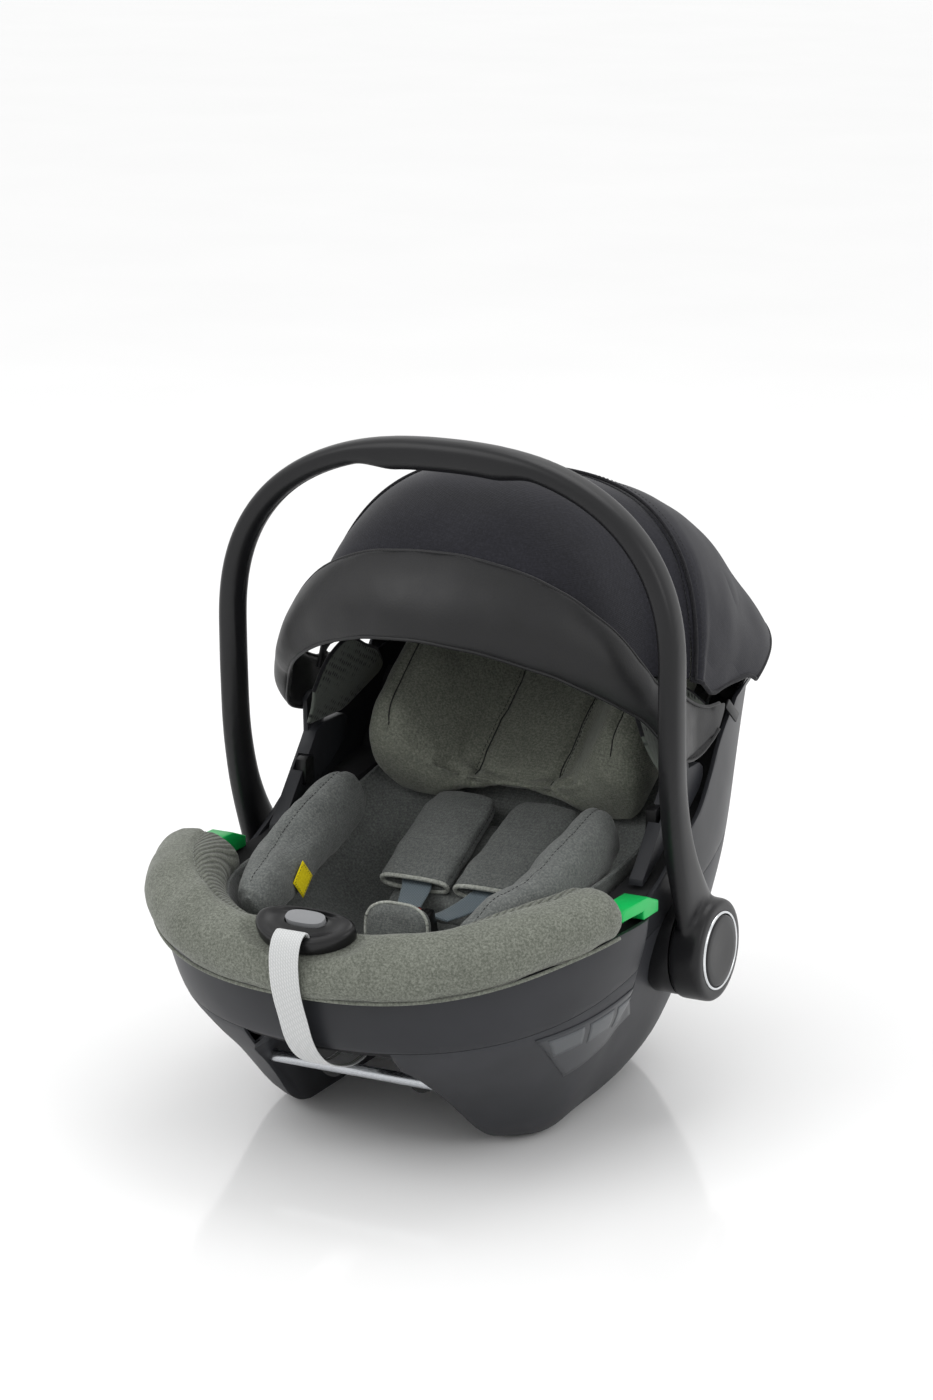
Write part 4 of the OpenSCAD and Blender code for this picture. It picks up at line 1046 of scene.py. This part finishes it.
def bezelFrame():
    height = float(rimZ(-296)) + 42
    turn = math.radians(24)
    return (np.array([0, -296, height]), np.array([1.0, 0, 0]), np.array([0, math.cos(turn), math.sin(turn)]),
            np.array([0, -math.sin(turn), math.cos(turn)]))


def bezelLocal(p):
    o, ex, ey, ez = bezelFrame()
    d = np.asarray(p, float) - o
    return np.stack([d @ ex, d @ ey, d @ ez], -1)


def makeRim():
    section = spline(rollSection, 52, closed=True)
    path = []
    for t in np.linspace(-77, 77, 150):
        path.append((t, 1.0))
    ends = [(0.45, 2.6), (0.72, 1.9), (0.9, 0.9)]
    rings = [rollRing(-77 - e, k, section) for k, e in ends] + [rollRing(t, k, section) for t, k in path]
    rings += [rollRing(77 + e, k, section) for k, e in ends[::-1]]
    roll = loftPiece("rimCushion", rings, [greyMelange, ribbedMelange])
    roll = inflate(roll, 5.0, 3.0, 5.0, 14)
    co = points(roll) / mm - np.array([0, hubShift, 0])
    local = bezelLocal(co)
    inside = 1 - ease((np.hypot(local[:, 0] / 50, (local[:, 1] + 4) / 27) - 0.88) / 0.35)
    sink = np.clip(local[:, 2] + 1.5, 0, 60) * inside  # hollow under the adjuster housing
    ez = bezelFrame()[3]
    co = co - sink[:, None] * ez
    setPoints(roll, place(co))
    angles = np.linspace(-80, 80, 240)
    sewn = []
    for t in angles:
        c, out = rollFrame(t)
        droop = 1 - 0.14 * float(ease((c[1] + 260) / 90))
        sewn.append((c[0] - out[0] * 30, c[1] - out[1] * 30, float(rimZ(c[1])) + 1.6 + 44 * droop))
    sewn = onSurface(roll, sewn, 0)
    pressSeam(roll, sewn, 2.2, 3.2)
    ripple(roll, 2.2, 46, 11)
    mesh = roll.data
    co = points(roll) / mm - np.array([0, hubShift, 0])
    for face in mesh.polygons:  # ribbed knit faces the child, melange faces out
        x, y, _ = co[list(face.vertices)].mean(0)
        r = math.hypot(x / 206, (y + 110) / 208)
        angle = math.degrees(math.atan2(abs(x) ** (1 / 0.87) / 206 ** (1 / 0.87), max(0.0, -(y + 110)) ** (1 / 0.87) / 208 ** (1 / 0.87)))
        c, out = rollFrame(min(79.0, angle))
        face.material_index = 1 if (abs(x) - c[0]) * out[0] + (y - c[1]) * out[1] < -30.5 else 0
    settle(roll, "seat", "seat_fabric", "rim_cushion")
    row = stitches("rimStitch", onSurface(roll, sewn + np.array([0, 0, 0.5]), 0.3), 3.2, 2.0, 0.32, threadLight)
    settle(row, "seat", "seat_fabric")
    low = []
    for t in np.linspace(-78, 78, 200):
        c, out = rollFrame(t)
        low.append((c[0] + out[0] * 3.2, c[1] + out[1] * 3.2, float(rimZ(c[1])) + 1.9))
    hem = cordTube("rimHem", low, 1.5, greyMelange, 8)
    settle(hem, "seat", "seat_fabric")
    return roll


rimCushion = makeRim()
print("rim cushion made")

# ---- seat lining ----
wellFoot = smoothTable([(118, -190), (124, -212), (134, -235), (148, -254), (170, -268), (200, -276), (360, -280)])
wellHead = smoothTable([(118, -70), (124, -45), (134, -22), (148, 2), (170, 34), (200, 73), (240, 126), (285, 186),
                        (330, 245), (360, 284)])
wellW = smoothTable([(118, 70), (124, 88), (134, 108), (148, 126), (170, 142), (200, 152), (240, 158), (285, 160), (360, 162)])
liningSizes = {"lift": 9.0, "cloth": 2.6}
liningTop = smoothTable([(-400, 158), (-300, 172), (-200, 196), (-110, 202), (-60, 204), (0, 210), (60, 226), (100, 244),
                         (150, 330), (190, 343), (400, 343)])


def wellColumn(z, g):
    return planHalf(-130, wellFoot(z) + g, wellHead(z) - g, wellW(z) - g, wellW(z) - g, 2.4, 6, 40)


def makeLining():
    g = liningSizes["lift"]
    levels = np.linspace(118, 356, 160)
    stack = np.array([wellColumn(z, g) for z in levels])
    heights = np.array([max(z, 118 + g + (z - 118) * 0.1) for z in levels])
    tops = []
    for j in range(stack.shape[1]):
        over = np.nonzero(heights >= liningTop(stack[:, j, 1]))[0]
        tops.append(float(heights[over[0]]) if len(over) else 345.0)
    tops = np.convolve(np.pad(tops, 3, mode="edge"), np.ones(7) / 7, mode="valid")
    rows = []
    for v in np.linspace(0, 1, 52) ** 0.8:
        row = []
        for j, top in enumerate(tops):
            z = heights[0] + (top - heights[0]) * v
            x = np.interp(z, heights, stack[:, j, 0])
            y = np.interp(z, heights, stack[:, j, 1])
            row.append((x, y, z))
        rows.append(row)
    first = np.array(rows[0])
    floor = [first * s + np.array([0, -130, heights[0]]) * (1 - s) for s in (0.02, 0.25, 0.5, 0.72, 0.88)]
    halfRows = floor + [np.array(r) for r in rows]
    grid = np.array([np.vstack([r, r[-2:0:-1] * np.array([-1, 1, 1]), r[:1]]) for r in halfRows])
    lining = clothSheet("seatLining", grid, liningSizes["cloth"], darkMelange)
    weld = lining.modifiers.new("weld", "WELD")
    weld.merge_threshold = 0.0003
    applyAll(lining)
    fixNormals(lining)
    lining = refine(lining)
    for x in (-68, 68):  # sewn joins of the back panel
        join = [(x, float(wellHead(z)) - g - 2, z) for z in np.linspace(150, 330, 80)]
        pressSeam(lining, join, 1.8, 3.0)
    ripple(lining, 1.6, 52, 17)
    settle(lining, "seat", "seat_fabric", "seat_cover")
    edge = grid[-1]
    hem = cordTube("liningHem", spline(edge, 420), 1.7, darkMelange, 8)
    settle(hem, "seat", "seat_fabric")
    return lining


lining = makeLining()
print("lining made")


# ---- padded insert ----
def ovalRing(c, a, b, r1, r2, n=36, square=0.8):
    t = np.linspace(0, 2 * math.pi, n, endpoint=False)
    return (np.asarray(c, float) + np.asarray(a, float) * r1 * power(np.cos(t), square)[:, None]
            + np.asarray(b, float) * r2 * power(np.sin(t), square)[:, None])


def makeInsert():
    stations = np.array([(98, -215, 184, 9, 12), (102, -208, 186, 14, 20), (107, -176, 195, 18.5, 26), (116, -130, 200, 20, 30),
                         (119, -84, 211, 19.5, 32), (120, -42, 222, 18, 31), (119, -14, 229, 14, 26), (119, -6, 231, 8, 13)], float)
    fine = spline(stations, 60)
    up = np.array([0, -0.45, 1]) / math.hypot(0.45, 1)
    for s, side in ((1, "right"), (-1, "left")):
        rings = [ovalRing((s * x, y, z), (s, 0, 0), up, w, h) for x, y, z, w, h in fine]
        bolster = loftPiece("hipBolster." + side, rings, darkMelange)
        bolster = inflate(bolster, 4.5, 3.0, 4.0, 14)
        crest = [(s * (x + 1), y, z + h * 0.96) for x, y, z, w, h in fine[3:-3]]
        crest = onSurface(bolster, crest, 0)
        pressSeam(bolster, crest, 1.5, 2.6)
        front = onSurface(bolster, ovalRing((s * 101, -212, 185), (s, 0, 0), up, 12, 17, 60), 0)
        pressSeam(bolster, front, 1.3, 2.2)
        ripple(bolster, 2.6, 34, 21 + s)
        settle(bolster, "seat", "insert_fabric", *(["insert_cushion"] if s == 1 else []))
        row = stitches("hipStitch." + side, onSurface(bolster, crest, 0.3), 3.0, 1.8, 0.3, threadDark)
        settle(row, "seat", "insert_fabric")
    back = np.array([(-58, 136.5, 161), (-48, 139, 165), (-30, 143, 172.5), (0, 160.5, 184), (25, 178, 194), (46, 194, 204)], float)
    rings = []
    for y, low, high in spline(back, 40):
        half = [(u, high - 3.5 * abs(u) ** 3) for u in np.linspace(-1, 1, 26)]
        base = [(u, low + 1.5 * abs(u) ** 4) for u in np.linspace(1, -1, 26)]
        rings.append([(60 * u, y, z) for u, z in half] + [(60 * u, y, z) for u, z in base])
    pad = loftPiece("backPad", rings, darkMelange)
    pad = inflate(pad, 4.0, 3.0, 3.0, 12)
    ripple(pad, 2.0, 30, 31)
    settle(pad, "seat", "insert_fabric")
    seat = np.array([(-238, 150), (-214, 139.5), (-185, 134.5), (-150, 133.5), (-110, 133.5), (-72, 134.5), (-56, 136)], float)
    rings = []
    for y, z in spline(seat, 46):
        rings.append([(56 * u, y, z + 7 * (1 - abs(u) ** 3.0)) for u in np.linspace(-1, 1, 30)]
                     + [(56 * u, y, z - 1.5) for u in np.linspace(1, -1, 30)])
    cushion = loftPiece("seatPad", rings, darkMelange)
    for x in (-24, 24):
        pressSeam(cushion, [(x, y, z + 6) for y, z in spline(seat, 90)], 2.2, 3.5)
    cushion = refine(cushion)
    ripple(cushion, 1.8, 30, 37)
    settle(cushion, "seat", "insert_fabric")


makeInsert()
print("insert made")

# ---- headrest ----
restSizes = {"y": 76.0, "z": 215.0, "tilt": 37.4, "low": -14.0, "high": 151.0}
restSection = [(-103, 7), (-50, 6.8), (50, 6.8), (103, 7), (114, 11), (125, 32), (129, 60), (124, 84), (110, 95), (93, 90), (77, 67),
               (63, 44), (47, 29), (20, 25.5), (-20, 25.5), (-47, 29), (-63, 44), (-77, 67), (-93, 90), (-110, 95), (-124, 84),
               (-129, 60), (-125, 32), (-114, 11)]


def restPlace(p):  # headrest's own axes: across, up the back, out of the back
    p = np.asarray(p, float)
    a = math.radians(restSizes["tilt"])
    return np.stack([p[..., 0], restSizes["y"] + p[..., 1] * math.cos(a) - p[..., 2] * math.sin(a),
                     restSizes["z"] + p[..., 1] * math.sin(a) + p[..., 2] * math.cos(a)], -1)


def makeHeadrest():
    section = spline(restSection, 96, closed=True)
    wing = smoothTable([(-14, 0.66), (0, 0.86), (22, 1.0), (84, 1.0), (110, 0.86), (135, 0.66), (151, 0.5)])
    close = smoothTable([(-14, 0.8), (-9, 0.93), (0, 1.0), (140, 1.0), (147, 0.95), (151, 0.86)])
    rings = []
    for v in np.concatenate([np.linspace(-14, 0, 8), np.linspace(5, 138, 44), np.linspace(141, 151, 6)]):
        ring = section.copy()
        tall = ring[:, 1] > 28
        ring[:, 1] = np.where(tall, 28 + (ring[:, 1] - 28) * wing(v), ring[:, 1])
        centre = 18.0
        ring[:, 1] = centre + (ring[:, 1] - centre) * close(v)
        ring[:, 0] = ring[:, 0] * (1 - 0.06 * (1 - close(v)) / 0.2)
        middle = 1 - ease((np.abs(ring[:, 0]) - 54) / 14)
        up = v + np.maximum(0, 9 - v) * middle * np.interp(v, [-14, 9], [1.0, 0.0]) ** 0.3 if v < 9 else v + 0 * middle
        rings.append(restPlace(np.column_stack([ring[:, 0], up, ring[:, 1]])))  # the middle stops higher than the wings
    rest = loftPiece("headrestCushion", rings, seatMelange)
    rest = inflate(rest, 3.4, 3.0, 3.5, 14)
    joins = {}
    for s, side in ((-1, "left"), (1, "right")):
        for part, x, z in (("panel", 37, 28), ("crest", 104, 95)):
            join = restPlace(np.array([(s * x, v, z if z < 60 else 28 + 67 * wing(v)) for v in np.linspace(-4, 142, 90)]))
            joins[part, side] = onSurface(rest, join, 0)
            pressSeam(rest, joins[part, side], 3.4, 4.2)
    ripple(rest, 2.0, 48, 41)
    for (part, side), join in joins.items():
        path = onSurface(rest, join, 0)
        path = np.array([path[max(0, i - 3):i + 4].mean(0) for i in range(len(path))])
        # painted shade: a thin dark cord in the thread colour is laid along each pressed seam and stands in for the
        # shade in the seam's crease
        seamShadeCord = cordTube("headrestSeamShade.%s.%s" % (part, side), onSurface(rest, path, 0.15), 0.6, threadDark, 6)
        settle(seamShadeCord, "headrest", "seat_fabric")
        if part == "panel":
            row = stitches("headrestStitch." + side, onSurface(rest, path + np.array([3.6 if side == "right" else -3.6, 0, 0]), 0.25),
                           3.0, 1.6, 0.3, threadDark)
            settle(row, "headrest", "seat_fabric")
    settle(rest, "headrest", "seat_fabric", "headrest_cushion")


makeHeadrest()
print("headrest made")

# ---- harness ----
harnessSizes = {"webbing": 26.0, "thick": 1.6, "pad": 66.0, "padThick": 18.0}
strapLine = np.array([(16, -108, 165), (22, -88, 166), (30, -62, 171), (35, -48, 178), (36.5, -20, 189), (38.5, 16, 203.4),
                      (39.5, 34, 211.4), (39.5, 54, 221)], float)
padLine = np.array([(34.5, -55, 174), (35, -48, 178), (36.5, -20, 189), (38.5, 16, 203.4), (39.5, 34, 211.4), (39.5, 49, 218.3)],
                   float)


def alongAxes(path):  # direction and the normal that leans away from the back
    d = np.gradient(path, axis=0)
    d /= np.linalg.norm(d, axis=1)[:, None]
    n = np.cross([1.0, 0, 0], d)
    return d, n / np.linalg.norm(n, axis=1)[:, None]


def ribbon(name, path, widths, thick, material, across=None):  # flat tape with a rounded selvedge
    d, n = alongAxes(path)
    rings = []
    for i, c in enumerate(path):
        side = np.cross(d[i], n[i]) if across is None else across
        w = widths[i] / 2
        ring = []
        for u, h in ((-1, 0), (-0.97, 0.7), (-0.85, 1), (-0.4, 1), (0, 1), (0.4, 1), (0.85, 1), (0.97, 0.7), (1, 0),
                     (0.97, -0.7), (0.85, -1), (0.4, -1), (0, -1), (-0.4, -1), (-0.85, -1), (-0.97, -0.7)):
            ring.append(c + side * u * w + n[i] * h * thick / 2)
        rings.append(ring)
    tape = loftPiece(name, rings, material)
    creaseShade(tape, 60)
    return tape


def makeHarness():
    for s, side in ((1, "right"), (-1, "left")):
        path = spline(strapLine, 60) * np.array([s, 1, 1])
        widths = np.interp(np.arange(60), [0, 8, 16, 60], [20, 22, 26, 26])
        tape = ribbon("shoulderWebbing." + side, path, widths, 1.7, greyWebbing)
        settle(tape, "seat", "webbing_grey", "harness_strap_" + side)
        line = spline(padLine, 56) * np.array([s, 1, 1])
        d, n = alongAxes(line)
        count = 40
        t = np.linspace(0, 2 * math.pi, count, endpoint=False)

        def padRing(i, w, h, push=0.0):
            c = line[i] + d[i] * push
            return (c + np.array([1.0, 0, 0]) * w * power(np.cos(t), 0.62)[:, None]
                    + n[i] * (h * power(np.sin(t), 0.72))[:, None])
        outer = [padRing(i, 32.0 - 5 * max(0, (i - 46) / 9) ** 2, 9.6 + 2.4 * math.sin(math.pi * i / 55) - 2 * max(0, (i - 46) / 9) ** 2) for i in range(56)]
        cap = [padRing(55, 22, 4.6, 1.6), padRing(55, 11, 2.2, 2.4)]
        lipRings = [padRing(0, 30.4, 7.0, -1.4), padRing(0, 28.0, 4.6, -1.0)]
        inner = [padRing(i, 24.5 - 0.1 * i, 3.2 - 0.01 * i) for i in range(0, 40, 3)]
        inside = [padRing(39, 9, 1.6), padRing(39, 2, 0.4)]
        rings = cap[::-1] + outer[::-1] + lipRings + inner + inside
        pad = loftPiece("shoulderPad." + side, rings, darkMelange)
        pad = refine(pad)
        edge = 29.6
        for k in (-1, 1):  # stitched side edges
            run = [line[i] + np.array([1.0, 0, 0]) * k * edge + n[i] * 2.0 for i in range(3, 54)]
            run = onSurface(pad, run, 0)
            pressSeam(pad, run, 1.1, 2.2)
            row = stitches("padStitch.%s.%d" % (side, k + 1), onSurface(pad, run, 0.25), 2.8, 1.6, 0.28, threadDark)
            settle(row, "seat", "insert_fabric")
        ripple(pad, 1.6, 26, 51 + s)
        settle(pad, "seat", "insert_fabric", "shoulder_pad_" + side)
        mouth = padRing(0, 30.6, 7.6, -1.2)
        trim = cordTube("padPiping." + side, mouth, 2.1, pipingCloth, 10, closed=True)
        settle(trim, "seat", "insert_fabric")


makeHarness()


def makeCrotchPad():
    table = np.array([(-152, 135, 22, 6), (-150.5, 145, 27, 7.6), (-149, 160, 29.5, 8.4), (-148, 173, 29.5, 8.2), (-147, 181, 26, 7.4),
                      (-146.4, 185.2, 19, 5.4), (-146, 187, 10, 3)], float)
    rings = [ovalRing((0, y, z), (1, 0, 0), (0, 1, 0), w, h, 44, 0.72) for y, z, w, h in spline(table, 40)]
    pad = loftPiece("crotchPad", rings, darkMelange)
    pad = inflate(pad, 3.5, 3.0, 2.0, 10)
    rim = []
    for y, z, w, h in spline(table, 60):
        rim.append((w + 0.4, y - h * 0.55, z))
    path = np.array(rim[6:] + [(-x, y, z) for x, y, z in rim[:5:-1]])
    path = onSurface(pad, spline(path, 140), 0.4)
    trim = cordTube("crotchPiping", spline(path[::4], 120), 1.4, pipingCloth, 10)
    settle(trim, "seat", "insert_fabric")
    ripple(pad, 1.2, 24, 61)
    settle(pad, "seat", "insert_fabric", "crotch_pad")


makeCrotchPad()
print("harness made")

# ---- harness adjuster ----
bezelSizes = {"half": 43.0, "front": 27.0, "back": 15.0, "height": 11.0}


def bezelPlace(local):
    o, ex, ey, ez = bezelFrame()
    p = np.asarray(local, float)
    return o + p[..., 0:1] * ex + p[..., 1:2] * ey + p[..., 2:3] * ez


def makeBezel():
    t = np.radians(np.linspace(0, 360, 96, endpoint=False))
    c, s = np.cos(t), np.sin(t)
    shape = np.column_stack([bezelSizes["half"] * power(c, 0.85) * np.where(s < 0, 1 - 0.1 * s * s, 1),
                             np.where(s < 0, bezelSizes["front"] * power(s, 1.05), bezelSizes["back"] * power(s, 0.8))])
    hole = np.column_stack([18.0 * power(c, 0.75), 8.5 * power(s, 0.75) + 2])
    rings = []
    for scale, z in ((0.9, -1.4), (0.985, -1.0), (1.0, 2), (1.0, 6.5), (0.99, 8.6), (0.965, 10.1), (0.93, 10.8), (0.88, 10.9)):
        rings.append(np.column_stack([shape * scale, np.full(96, z)]))
    for blendIn, z in ((0.12, 10.7), (0.3, 9.6), (0.55, 8.4), (0.8, 8.3), (0.93, 9.0), (0.98, 9.2), (1.0, 8.6), (1.0, -0.8)):
        flat = shape * 0.86 * (1 - blendIn) + hole * blendIn
        rings.append(np.column_stack([flat, np.full(96, z)]))
    bezel = loftPiece("adjusterHousing", [bezelPlace(r) for r in rings], blackAbs)
    slotRings = [bezelPlace(np.column_stack([14.2 * power(c, 0.5), -17 + 2.0 * power(s, 0.5), np.full(96, z)])) for z in (-2, 14)]
    cutter = loftPiece("cutter", slotRings, blackAbs)
    boolean(bezel, cutter, "DIFFERENCE")
    discard(cutter)
    creaseShade(bezel, 40)
    settle(bezel, "seat", "black_plastic", "adjuster_bezel")


makeBezel()


def makeAdjusterStrap():
    route = np.array([(-313, 203.5), (-316.5, 211.5), (-322, 214), (-329, 209), (-333, 199), (-333.5, 187), (-331.5, 172), (-327, 158),
                      (-320, 142), (-312, 124), (-301, 109), (-286, 97), (-266, 88), (-244, 83), (-222, 85), (-210, 92)], float)
    fine = spline(route, 130)
    path = np.column_stack([np.zeros(130), fine])
    tape = ribbon("adjusterWebbing", path, np.full(130, 26.0), 1.6, lightWebbing, across=np.array([1.0, 0, 0]))
    settle(tape, "seat", "webbing_light", "adjuster_strap")
    d, n = alongAxes(path)
    for k in (-1, 1):  # darker rows along the selvedges
        for x in (10.6, 8.8):
            run = path + np.array([k * x, 0, 0]) - n * 0.95 * np.sign(-1.0)
            line = cordTube("webbingRow.%d.%d" % (k + 1, int(x * 10)), run[2:-2], 0.28, threadLight, 5)
            settle(line, "seat", "webbing_light")


makeAdjusterStrap()
print("adjuster made")


# ---- side linings, tags ----
def makeMeshLiners():
    low = spline(np.array([(-3, 282), (30, 281.5), (57, 282), (80, 292), (103, 303)], float), 40)
    high = spline(np.array([(-14, 314), (-10, 340), (8, 354), (28, 353), (58, 340), (84, 330), (106, 313)], float), 40)
    for s, side in ((1, "right"), (-1, "left")):
        grid = []
        for a, b in zip(low, high):
            row = []
            for v in np.linspace(0, 1, 26):
                y, z = a * (1 - v) + b * v
                row.append((s * (166.0 - 0.38 * (z - 281) - 1.4 * math.sin(math.pi * v)), y, z))
            grid.append(row)
        liner = clothSheet("spacerLiner." + side, grid, 3.0, meshKnit)
        settle(liner, "seat", "mesh_fabric", "mesh_liner_" + side)
        rim = cordTube("spacerLinerEdge." + side, [r[-1] for r in grid], 1.8, hemTape, 8)
        settle(rim, "seat", "mesh_fabric")


makeMeshLiners()


def makeTag(name, corners, out, body, node):  # small woven label on a folded hem
    a, b, c, d = (np.array(p, float) for p in corners)
    grid = []
    for v in np.linspace(0, 1, 9):
        row = []
        for u in np.linspace(0, 1, 9):
            p = (a * (1 - u) + b * u) * (1 - v) + (d * (1 - u) + c * u) * v
            row.append(p + np.asarray(out, float) * 0.8 * math.sin(math.pi * v) * math.sin(math.pi * u))
        grid.append(row)
    tag = clothSheet(name, grid, 0.5, yellowLabel)
    settle(tag, body, "yellow_label", node)
    rim = [a + (b - a) * f for f in np.linspace(0, 1, 10)] + [b + (c - b) * f for f in np.linspace(0, 1, 10)]
    rim += [c + (d - c) * f for f in np.linspace(0, 1, 10)] + [d + (a - d) * f for f in np.linspace(0, 1, 10)]
    centre = (a + b + c + d) / 4
    rim = [centre + (p - centre) * 0.84 + np.asarray(out, float) * 0.5 for p in rim]
    row = stitches(name + ".stitch", rim, 1.6, 1.2, 0.2, threadDark)
    settle(row, body, "yellow_label")


tagAlong = np.array([math.sin(math.radians(8)), math.cos(math.radians(8)), 0])
tagOut = np.array([math.cos(math.radians(8)), -math.sin(math.radians(8)), 0])
tagCentre = np.array([-86.5, -152, 196])
makeTag("bolsterTag", [tagCentre + tagAlong * u + np.array([0, 0, h]) for u, h in ((0, 16), (13, 0), (0, -16), (-13, 0))],
        tagOut, "seat", "bolster_tag")
wingCorners = restPlace(np.array([(-131.2, 52, 44), (-131.2, 80, 44), (-131.2, 80, 60), (-131.2, 52, 60)], float))
makeTag("wingTag", wingCorners, (-1, 0, 0), "headrest", "wing_tag")
print("linings and tags made")
